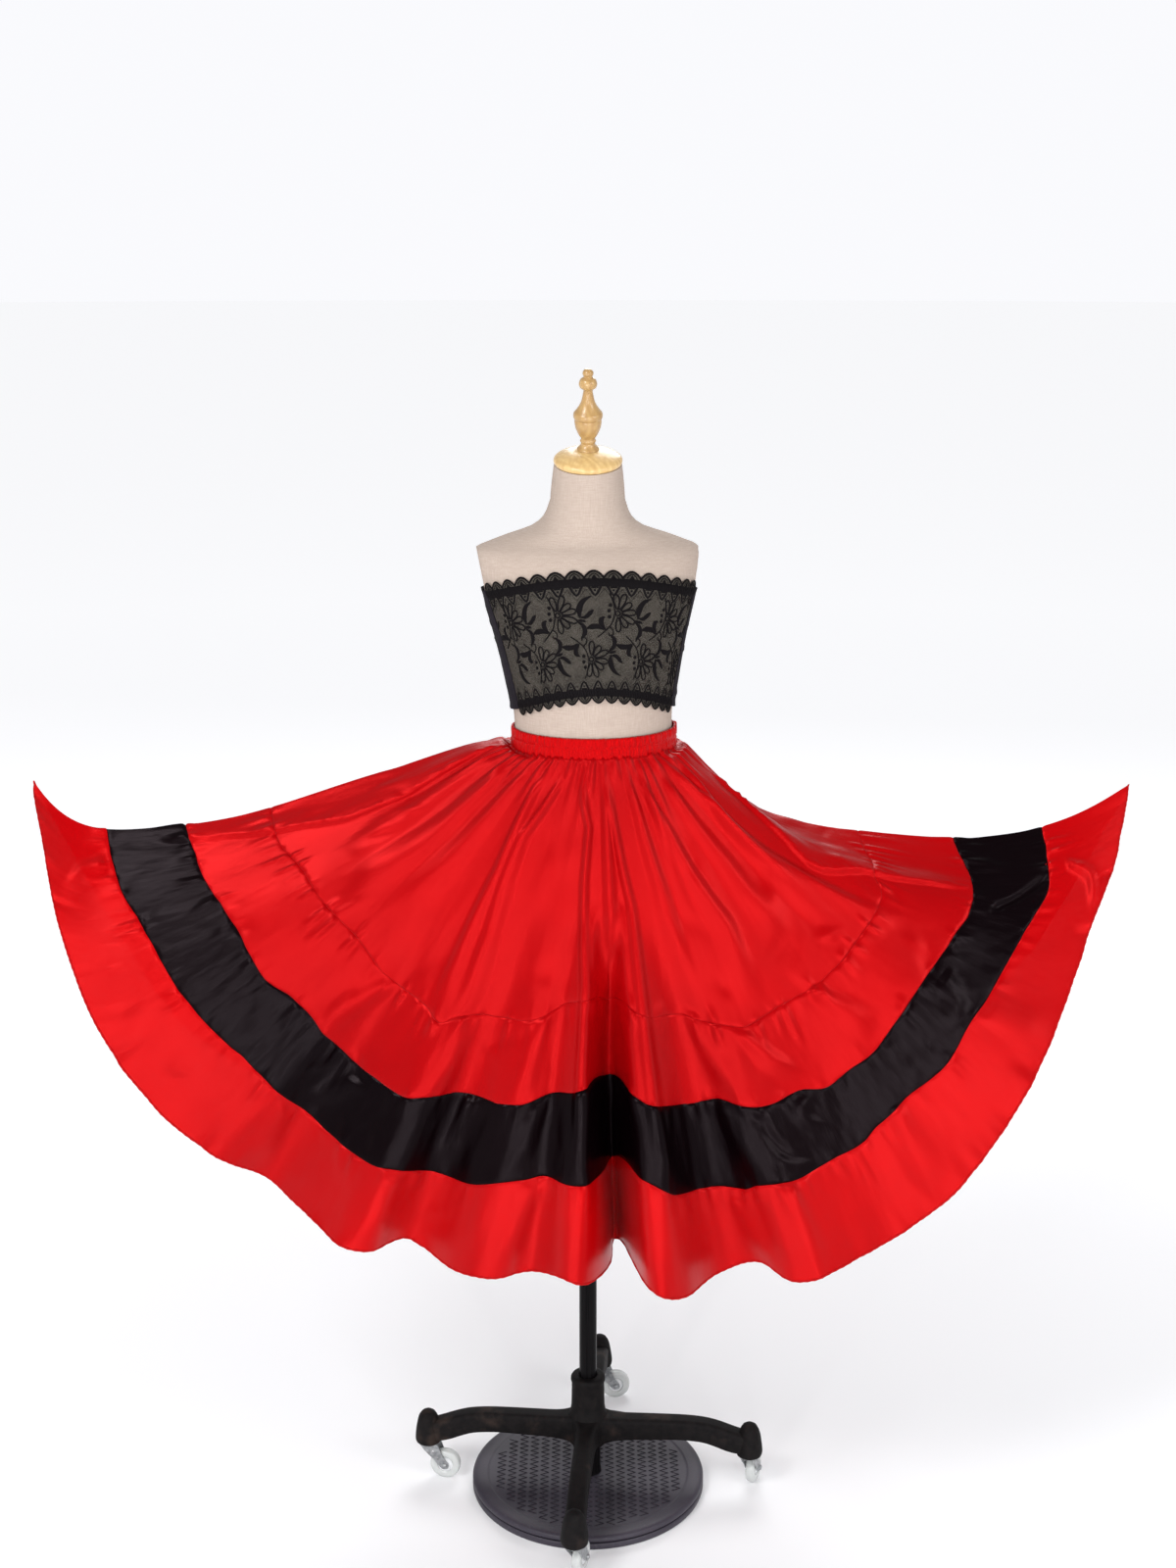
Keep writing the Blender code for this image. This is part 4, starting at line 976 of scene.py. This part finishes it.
def make_neck_cap():
    disc = mm(
        (0, 16.5), (11, 16.5), (15, 15.5), (23, 13.8), (31, 11), (36.5, 8), (39, 5.5), (39.5, 3),
        (38.5, 0.6), (37.5, 0), (0, 0))
    finial = mm(
        (0, 111), (3.5, 110.4), (5.8, 107.8), (6.2, 105), (5, 101.5), (8.5, 99), (10.4, 94),
        (9, 89.3), (5.5, 86.8), (6.2, 80), (8.5, 71.5), (13, 64), (16.2, 60), (16.8, 56.5),
        (16, 53.5), (15, 52.5), (15.5, 50), (14.5, 43), (11.2, 35), (8, 30), (9.2, 27), (8, 24),
        (9.8, 20.5), (12.5, 18), (12.8, 16.8), (0, 16.8))
    for name, node, look, steps, profile in (
            ("neck_cap_turned", "neck_cap", "cap_wood", 96, disc),
            ("finial_turned", "finial", "wood", 56, finial)):
        line = [tuple(p) for p in smooth_line(profile[:-1], 3)] + [profile[-1]]
        make_turned(name, node, look, "pale_wood", steps, line, neck_frame(), angle=50.0)


# ---------------------------------------------------------------- lace tube top
BANDEAU_EASE = 0.0022
TOP_FRONT, TOP_SIDE = 1.192, 1.169
BOTTOM_FRONT, BOTTOM_SIDE = 1.058, 1.03
LACE_SEAM_TOP = math.radians(72)
LACE_SEAM_BOTTOM = math.radians(65)
SCALLOPS = 15
SCALLOP_DEPTH = 0.0075
LACE_HALF = 0.14          # half the lace panel's width as it lies on the form
LACE_HEIGHT = 0.134        # between the lobes' roots


def top_height(angle, share):
    """Height on the form at that share of the way up the tube top."""
    front = max(math.cos(angle), 0.0) ** 2
    low = BOTTOM_SIDE + (BOTTOM_FRONT - BOTTOM_SIDE) * front
    high = TOP_SIDE + (TOP_FRONT - TOP_SIDE) * front
    return low + (high - low) * share


def seam_angle(share):
    return LACE_SEAM_BOTTOM + (LACE_SEAM_TOP - LACE_SEAM_BOTTOM) * share


def lace_point(across, up, lift):
    """A point on the lace front: metres from its middle, metres above its lower lobes' roots."""
    inside = min(max(up / LACE_HEIGHT, 0.0), 1.0)
    angle = across / LACE_HALF * seam_angle(inside)
    height = top_height(angle, inside) + (up - inside * LACE_HEIGHT)
    return torso_point(angle, height, BANDEAU_EASE + lift)


def sheet_mesh(name, columns, rows, place):
    """A mesh through place(share across, share up), which gives a point and its cloth place."""
    places = [[place(column / columns, 1.0 - row / rows) for column in range(columns + 1)]
              for row in range(rows + 1)]
    grid, uv = (np.array([[tuple(pair[k]) for pair in row] for row in places]) for k in (0, 1))
    return grid_mesh(name, grid, uv=uv)


def make_lace_ground():
    def place(share, share_up):
        lobe = SCALLOP_DEPTH * abs(math.sin(math.pi * SCALLOPS * share)) ** 0.8
        across = LACE_HALF * (2.0 * share - 1.0)
        up = -lobe + (LACE_HEIGHT + 2 * lobe) * share_up
        return lace_point(across, up, 0.0), (across, up)

    mesh = sheet_mesh("bandeau_lace_net", SCALLOPS * 14, 44, place)
    return finish_piece("bandeau_lace_net", mesh, "net", "lace_black", ("bandeau_lace_front",),
                        angle=80.0, wall=0.0004)


class Embroidery(Pile):
    """Raised threads and filled shapes drawn on the lace, in metres across and up."""

    def strip(self, path, widths, lift=0.0005, closed=False):
        """A ribbon along a path, rounded across; widths: one half-width or one for each point."""
        path = [np.array(point, float) for point in path]
        count = len(path)
        if isinstance(widths, float):
            widths = [widths] * count
        points, faces = [], []
        for i, here in enumerate(path):
            before = path[i - 1] if i > 0 or closed else here
            after = path[(i + 1) % count] if i < count - 1 or closed else here
            along = after - before
            size = np.linalg.norm(along)
            side = np.array([-along[1], along[0]]) / size if size > 1e-9 else np.array([0.0, 1.0])
            half = max(widths[i], 0.00012)
            for step, height in ((-1.0, 0.0), (-0.6, lift), (0.6, lift), (1.0, 0.0)):
                place = here + side * half * step
                points.append(self.place(place[0], place[1], CLOTH * 0.4 + height))
        last = count if closed else count - 1
        for i in range(last):
            a, b = 4 * i, 4 * ((i + 1) % count)
            for k in range(3):
                faces.append((a + k, b + k, b + k + 1, a + k + 1))
        self.add(points, faces)

    def place(self, across, up, lift):
        limit = LACE_HALF * 0.995
        return lace_point(min(max(across, -limit), limit), up, lift)

    def dot(self, x, y, radius):
        ring = [(x + 0.5 * radius * math.cos(a), y + 0.5 * radius * math.sin(a))
                for a in (TAU * k / 8 for k in range(8))]
        self.strip(ring, 0.5 * radius, closed=True)


def motif(stitch, x, y, up, rng):
    """One repeat: a fan of seven open petals, its stem with leaves, a curl and two crescents."""
    def at(px, py):
        return (x + px * 0.001, y + up * py * 0.001)

    def draw(points, half_widths, steps=4, lift=0.0006):
        line = smooth_line([at(*p) for p in points], steps)
        if isinstance(half_widths, float):
            widths = half_widths
        else:
            places = np.linspace(0, 1, len(line))
            widths = list(np.interp(places, np.linspace(0, 1, len(half_widths)), half_widths))
        stitch.strip(line, widths, lift)

    for petal in range(7):
        angle = math.radians(100 - petal * 31 + rng.uniform(-3, 3))
        reach = 20.5 + 2.0 * math.sin(petal * 2.1)
        side = 3.5
        shape = []
        for step in range(14):
            t = TAU * step / 14
            r = 4.4 + (reach - 4.4) * (0.5 - 0.5 * math.cos(t))
            w = side * math.sin(t) * (0.45 + 0.75 * (0.5 - 0.5 * math.cos(t)))
            shape.append(at(r * math.cos(angle) - w * math.sin(angle),
                            r * math.sin(angle) + w * math.cos(angle)))
        stitch.strip(shape, 0.00088, 0.0007, closed=True)
    heart = [at(2.6 * math.cos(a), 2.6 * math.sin(a)) for a in (TAU * k / 10 for k in range(10))]
    stitch.strip(heart, 0.00085, 0.0007, closed=True)
    for px, py in ((-8.2, 9.0), (-9.6, 2.6), (-9.2, -4.0)):
        stitch.dot(*at(px, py), 0.0022)
    draw([(-9, 22), (-5, 11), (-3.5, 0), (-7, -12), (-14, -20), (-23, -27)], 0.00075)
    draw([(-15, -19), (-21, -15), (-29, -15), (-35, -17)], [0.0003, 0.0028, 0.0031, 0.0003])
    draw([(-13, -19), (-18, -12), (-18, -7), (-14, -4)], [0.0003, 0.0027, 0.0029, 0.0003])
    draw([(-9, -15), (-5, -19), (-5, -24), (-9, -25), (-10, -22)], 0.00075)
    draw([(-41, -5), (-41, 5), (-36, 14), (-27, 19)], [0.0008, 0.0036, 0.0024, 0.0003])
    draw([(-41, -4), (-35, -4), (-29, 1), (-26, 4)], [0.0003, 0.0022, 0.0024, 0.0003])
    draw([(-45, -8), (-38, -14), (-37, -22), (-42, -28)], [0.0004, 0.0024, 0.0028, 0.0004])
    draw([(-45, -7), (-39, -8), (-35, -9)], [0.0003, 0.0018, 0.0006])


def make_lace_motifs():
    rng = random.Random(3)
    stitch = Embroidery()
    for repeat in range(-2, 3):
        x = 0.0235 + repeat * 0.065
        if -0.155 < x < 0.165:
            motif(stitch, x, 0.096, 1.0, rng)
        if -0.13 < x - 0.031 < 0.165:
            motif(stitch, x - 0.031, 0.044, -1.0, rng)
    return finish_piece("bandeau_lace_flowers", stitch, "motif", "lace_black", angle=60.0)


def make_lace_edging():
    """Along both long edges: corded scallops, a ruched ribbon and a row of points."""
    stitch = Embroidery()
    rng = random.Random(8)
    pitch = 2 * LACE_HALF / SCALLOPS
    edges = ((LACE_HEIGHT, 1.0), (0.0, -1.0))
    for edge, out in edges:
        def at(across, outwards):
            return (across, edge + out * outwards)

        for lobe in range(SCALLOPS):
            left = -LACE_HALF + lobe * pitch
            middle = left + pitch / 2
            arc = [at(left + pitch * k / 12, SCALLOP_DEPTH * math.sin(math.pi * k / 12) ** 0.8)
                   for k in range(13)]
            stitch.strip(arc, 0.001, 0.0009)
            inner = [at(left + pitch * (0.22 + 0.07 * k),
                        SCALLOP_DEPTH * 0.62 * math.sin(math.pi * k / 8) ** 0.8) for k in range(9)]
            stitch.strip(inner, 0.0005, 0.0005)
            stitch.strip([at(middle, -0.0005), at(middle, 0.0032)], [0.0028, 0.0005], 0.0006)
            # a pierced point hangs from the ribbon towards the panel's middle
            point = [at(middle + x, y)
                     for x, y in ((-0.0062, -0.0085), (0.0, -0.0185), (0.0062, -0.0085))]
            stitch.strip(smooth_line(point, 3), 0.0012, 0.0006)
            stitch.strip([at(middle + x, -0.0097) for x in (-0.0034, 0.0, 0.0034)], 0.0012, 0.0006)
            stitch.dot(*at(middle, -0.013), 0.0012)
            stitch.strip([at(left, -0.0115), at(middle, -0.024), at(left + pitch, -0.0115)],
                         0.0003, 0.0004)
    columns, rows = 420, 8
    for edge, out in edges:
        points, faces = [], []
        phases = [rng.uniform(0, TAU) for _ in range(6)]
        for row in range(rows + 1):
            t = row / rows
            for column in range(columns + 1):
                across = LACE_HALF * (2.0 * column / columns - 1.0) * 0.999
                ruche = sum(math.sin(across * f + p + 2.2 * math.sin(t * 3.0 + p))
                            for f, p in zip((2300, 3100, 1700, 2700, 3900, 1300), phases)) / 6
                lift = 0.0006 + (0.0011 + 0.0008 * ruche) * math.sin(math.pi * t) ** 0.5
                up = edge - out * (0.0004 + 0.0088 * t) + 0.0004 * ruche * (1 - abs(2 * t - 1))
                points.append(lace_point(across, up, lift))
        for row in range(rows):
            for column in range(columns):
                here = row * (columns + 1) + column
                quad = (here, here + columns + 1, here + columns + 2, here + 1)
                faces.append(quad if out > 0 else tuple(reversed(quad)))
        stitch.add(points, faces)
    return finish_piece("bandeau_lace_edging", stitch, "motif", "lace_black", angle=60.0)


def make_bandeau_back():
    rng = random.Random(21)
    # short soft tucks: place along and up, length, width, slant and rise
    tucks = []
    for _ in range(26):
        side = rng.choice((0.0, 1.0))
        tucks.append((abs(side - rng.uniform(0.0, 0.35)), rng.uniform(0.05, 0.95),
                      rng.uniform(0.05, 0.16), rng.uniform(0.02, 0.05),
                      rng.uniform(-0.5, 0.5), rng.uniform(-0.001, 0.0014)))

    def place(share, up):
        seam = seam_angle(up)
        angle = seam + 2 * (math.pi - seam) * share
        lift = 0.0002
        for tuck_along, tuck_up, length, width, slant, rise in tucks:
            along = (share - tuck_along) / length
            across = (up - tuck_up - slant * (share - tuck_along)) / width
            if abs(along) < 1 and abs(across) < 1:
                bump = math.cos(along * math.pi / 2) * math.cos(across * math.pi / 2)
                lift += rise * bump ** 2
        # the turned-in edges are thicker
        lift += 0.0008 * max(0.0, 1 - min(up, 1 - up) / 0.04)
        point = torso_point(angle, top_height(angle, up), BANDEAU_EASE + max(lift, 0.0))
        return point, (share * 0.34, up * 0.139)

    mesh = sheet_mesh("bandeau_back_knit", 220, 48, place)
    return finish_piece("bandeau_back_knit", mesh, "knit", "knit_black", ("bandeau_back",),
                        angle=80.0, wall=0.0008)


# ---------------------------------------------------------------- stand
BASE_TURN = math.radians(-4.5)
LEG_REACH = 0.2075
DOME_BOTTOM = 0.05
WHEEL_RADIUS = 0.0195
WHEEL_WIDTH = 0.012
CASTOR_TRAIL = 0.022
STEM_RADIUS, STEM_TOP = 0.004, 0.068
FORK_TOP = DOME_BOTTOM - 0.0003
CASTOR_TRAILS = {"right": 70.0, "back": 4.0, "left": -8.0, "front": 70.0}
CASTOR_TURNS = tuple((name, math.radians(degrees) + BASE_TURN) for name, degrees in (
    ("right", 0.0), ("back", 90.0), ("left", 180.0), ("front", 270.0)))

# the leg's profile in millimetres: reach, lower and upper edge, half-width
LEG_SECTIONS = mm(
    (10, 64, 101, 19), (20, 65, 100, 17), (30, 66.5, 98.5, 14.2), (42, 68, 97.8, 12.8),
    (60, 69.5, 98, 12.5), (85, 70.6, 98.4, 12.3), (110, 71.8, 98.6, 12.2),
    (130, 71.5, 98.3, 12.1), (148, 69.5, 96.8, 12), (162, 65.2, 94, 12), (176, 59.8, 89.5, 12.1),
    (188, 56.5, 85, 12.2), (199, 55.5, 81.5, 12.4), (206, 55.5, 80, 12.4),
)


def rounded_section(reach, low, high, half):
    """A leg's cross-section: flat sides, well-rounded upper edges, smaller lower ones."""
    ring = []
    corners = (
        (half, high, -1, -1, 0.0062, 0.0), (-half, high, 1, -1, 0.0062, 0.5 * math.pi),
        (-half, low, 1, 1, 0.0028, math.pi), (half, low, -1, 1, 0.0028, 1.5 * math.pi),
    )
    for y, z, inward_y, inward_z, radius, start in corners:
        centre_y, centre_z = y + inward_y * radius, z + inward_z * radius
        for step in range(6):
            angle = start + 0.5 * math.pi * step / 5
            ring.append(Vector((reach, centre_y + radius * math.cos(angle),
                                centre_z + radius * math.sin(angle))))
    return ring


def make_base():
    pile = Pile()
    hub = mm(
        (11.3, 110), (11.3, 154), (12.2, 155), (18.6, 155), (20.5, 154.2), (21.8, 152),
        (22, 148.5), (21.2, 146), (20.8, 144), (21, 125), (21.4, 112), (22.6, 104.5), (25, 98.5),
        (25.8, 94), (25.8, 67), (24.8, 62.5), (22.8, 60), (0, 60))
    turn(pile, hub, 64)
    dome = mm(
        (0, 95), (3, 94.7), (6.2, 93.4), (9, 91.2), (11, 88.2), (12.6, 84.5), (13.8, 80),
        (14.8, 75), (15.6, 70), (16.3, 65), (16.9, 60), (17.1, 56), (16.8, 53), (16, 51),
        (14.8, 50), (6, 50))
    line = smooth_line(LEG_SECTIONS, 3)
    for number, (name, angle) in enumerate(CASTOR_TURNS):
        place = Matrix.Rotation(angle, 4, "Z")
        rings = [[place @ point for point in rounded_section(*section)] for section in line]
        loft(pile, rings)
        def unevenness(around, z, n=number):
            return 0.00022 * math.sin(7 * around + 3 * n) * math.sin(260 * z + n)

        turn(pile, dome, 40, place @ Matrix.Translation((LEG_REACH, 0.0, 0.0)), wobble=unevenness)
    finish_piece("base_casting_painted", pile, "iron", "cast_iron", ("base_casting",), angle=42.0)


def make_pole_and_plates():
    for name, node, look, slot, steps, profile in (
            ("pole_enamelled", "pole", "steel", "black_steel", 64, mm(
                (0, 798.5), (9.8, 798.5), (10.7, 798), (11, 797), (11, 770), (11, 450), (11, 160),
                (11, 106), (0, 105.5))),
            ("form_flange_turned", "form_flange", "steel", "black_steel", 64, mm(
                (11.3, 799.7), (35.6, 799.7), (36.2, 798.8), (36.2, 796.6), (35.6, 795.7),
                (23, 794.5), (19.8, 793.2), (18.4, 790), (18, 788), (18, 760), (17.6, 757.5),
                (16, 756), (11.3, 756))),
            ("ballast_post_turned", "ballast_post", "steel", "black_steel", 48, mm(
                (0, 59.7), (14.8, 59.7), (15.8, 58.8), (16, 57), (16, 30), (16.4, 21.5),
                (17.2, 19), (17.4, 18.3), (0, 18.3))),
            ("ballast_lower_disc", "ballast_plate_lower", "ballast", "ballast", 128, mm(
                (0, 8.8), (145, 8.8), (147.6, 8.5), (148.6, 7.6), (149, 6.2), (149, 2.6),
                (148.4, 1),
                (147, 0), (0, 0)))):
        make_turned(name, node, look, slot, steps, profile)
    pile = Pile()
    turn(pile, mm(
        (0, 16.8), (126.2, 16.8), (128.4, 17), (129.6, 17.7), (130.8, 18), (140, 18), (144, 17.8),
        (146.8, 17), (148.4, 15.6), (149, 13.8), (148.9, 11.8), (147.8, 10.6), (145.6, 9.9),
        (144.8, 9.1), (0, 9.1)), 128)
    zigzags(pile)
    finish_piece("ballast_upper_disc", pile, ["ballast", "ribs"], "ballast",
                 ("ballast_plate_upper",), angle=35.0)


def zigzags(pile):
    """Low ribs in zigzag columns on the recessed middle of the plate."""
    spacing, period, swing, limit = 0.014, 0.0104, 0.0052, 0.1235
    half, height, floor, post = 0.00055, 0.0008, 0.0168, 0.018
    section = ((-1.6, -0.0002), (-0.5, height), (0.5, height), (1.6, -0.0002))
    last = int(limit / spacing)
    for column in range(-last, last + 1):
        x = column * spacing
        end = math.sqrt(limit * limit - x * x)
        flip = swing if column % 2 else -swing
        points = [(x + flip * (1 if step % 2 else -1), -end + step * period / 2)
                  for step in range(int(4 * end / period) + 1)]
        # the ribs stop at the plate's edge and at its post
        for inside, run in itertools.groupby(
                points, key=lambda at: post <= math.hypot(*at) <= limit + 0.002):
            rings = [[Vector((px + wide * half, py, floor + z)) for wide, z in section]
                     for px, py in run]
            if inside and len(rings) > 1:
                loft(pile, rings, closed_ends=False, finish=1, wrap=False)


def plate_with_holes(outline, holes, half, bevel):
    """A pressed plate's mesh: an outline with round holes, rounded at its edges, in local XY."""
    curve = bpy.data.curves.new("plate", "CURVE")
    curve.dimensions = "2D"
    curve.fill_mode = "BOTH"
    curve.extrude = half - bevel
    curve.bevel_depth = bevel
    curve.bevel_resolution = 2
    loops = [outline] + [
        [(x + r * math.cos(TAU * k / 16), y + r * math.sin(TAU * k / 16)) for k in range(16)]
        for x, y, r in holes]
    for loop in loops:
        spline = curve.splines.new("POLY")
        spline.points.add(len(loop) - 1)
        for point, (x, y) in zip(spline.points, loop):
            point.co = (x, y, 0.0, 1.0)
        spline.use_cyclic_u = True
    drawn = bpy.data.objects.new("plate", curve)
    bpy.context.scene.collection.objects.link(drawn)
    bpy.context.view_layer.update()
    graph = bpy.context.evaluated_depsgraph_get()
    mesh = bpy.data.meshes.new_from_object(drawn.evaluated_get(graph))
    points = [vertex.co.copy() for vertex in mesh.vertices]
    faces = [tuple(polygon.vertices) for polygon in mesh.polygons]
    bpy.data.objects.remove(drawn)
    bpy.data.curves.remove(curve)
    bpy.data.meshes.remove(mesh)
    return points, faces


def mirrored(half):
    """A profile and its mirror image below its middle."""
    return half + [(radius, -height) for radius, height in reversed(half)]


def make_castors():
    half = WHEEL_WIDTH / 2 + 0.0012
    flat = WHEEL_WIDTH / 2
    end = half + 0.004
    outline = [tuple(p) for p in smooth_line(mm(
        (-10, 48.5), (11.5, 48.5), (16.8, 38.5), (21.2, 29), (26.2, 23), (27.2, 19.5),
        (26.2, 16.3),
        (22.5, 14.7), (18.2, 15.8), (12, 22.5), (4, 32), (-4, 40)), 3)]
    cheek_points, cheek_faces = plate_with_holes(
        outline, [(0.007, 0.039, 0.0017), (0.0135, 0.029, 0.0015)], 0.0008, 0.00025)
    stem = [
        (0.0, STEM_TOP), (0.0034, STEM_TOP), (STEM_RADIUS, STEM_TOP - 0.0008),
        (STEM_RADIUS, FORK_TOP + 0.0001), (0.0108, FORK_TOP), (0.0122, FORK_TOP - 0.0005),
        (0.0128, FORK_TOP - 0.0013), (0.0122, FORK_TOP - 0.0021), (0.0112, FORK_TOP - 0.0024),
        (0.0112, FORK_TOP - 0.0028), (0.0, FORK_TOP - 0.0028)]
    axle = mirrored([
        (0.0, end), (0.0016, end - 0.0001), (0.0028, end - 0.0006), (0.0034, end - 0.0016),
        (0.0034, half + 0.0016), (0.0026, half + 0.0015)])
    tyre = mirrored([
        (0.0098, flat - 0.0012), (0.0104, flat - 0.0004), (0.012, flat), (0.0164, flat),
        (0.0182, flat - 0.0006), (0.0192, flat - 0.002), (WHEEL_RADIUS, 0.002)])
    core = mirrored([
        (0.0029, flat), (0.005, flat), (0.0056, flat - 0.0006), (0.006, flat - 0.0016),
        (0.009, flat - 0.0022), (0.0099, flat - 0.0014)])
    lift = Matrix.Rotation(math.pi / 2, 4, "X")
    for name, angle in CASTOR_TURNS:
        axis = Matrix.Rotation(angle, 4, "Z") @ Vector((LEG_REACH, 0.0, 0.0))
        trail = Matrix.Rotation(math.radians(CASTOR_TRAILS[name]), 4, "Z")
        pose = Matrix.Translation(axis) @ trail
        fork = Pile()
        turn(fork, stem, 40, pose)
        for side in (-1.0, 1.0):
            place = pose @ Matrix.Translation((0.0, side * (half + 0.0008), 0.0)) @ lift
            fork.add([place @ p for p in cheek_points], cheek_faces)
        hub = pose @ Matrix.Translation((CASTOR_TRAIL, 0.0, WHEEL_RADIUS)) @ lift
        turn(fork, axle, 24, hub)
        finish_piece(f"castor_{name}_fork", fork, "zinc", "zinc", (f"castor_fork_{name}",),
                     body=f"castor_{name}")
        wheel = Pile()
        turn(wheel, tyre + tyre[:1], 56, hub)
        turn(wheel, core + core[:1], 40, hub, finish=1)
        finish_piece(f"castor_{name}_wheel", wheel, ("clear", "nylon"), "clear_plastic",
                     (f"castor_wheel_{name}",), body=f"wheel_{name}")


# ---------------------------------------------------------------- everything together
skirt_surface = shape_skirt()
skirt_pieces = make_skirt(skirt_surface)
hem = make_hem(skirt_surface)
waistband = make_waistband()
make_torso()
make_neck_cap()
lace = make_lace_ground()
flowers = make_lace_motifs()
edging = make_lace_edging()
back_panel = make_bandeau_back()
make_base()
make_pole_and_plates()
make_castors()

floor_mesh = bpy.data.meshes.new("floor")
floor_mesh.from_pydata(
    [(60.0 * math.cos(TAU * k / 64), 60.0 * math.sin(TAU * k / 64), 0.0) for k in range(64)],
    [], [tuple(range(64))])
floor = bpy.data.objects.new("floor", floor_mesh)
floor_mesh.materials.append(LOOKS["floor"])
bpy.context.scene.collection.objects.link(floor)
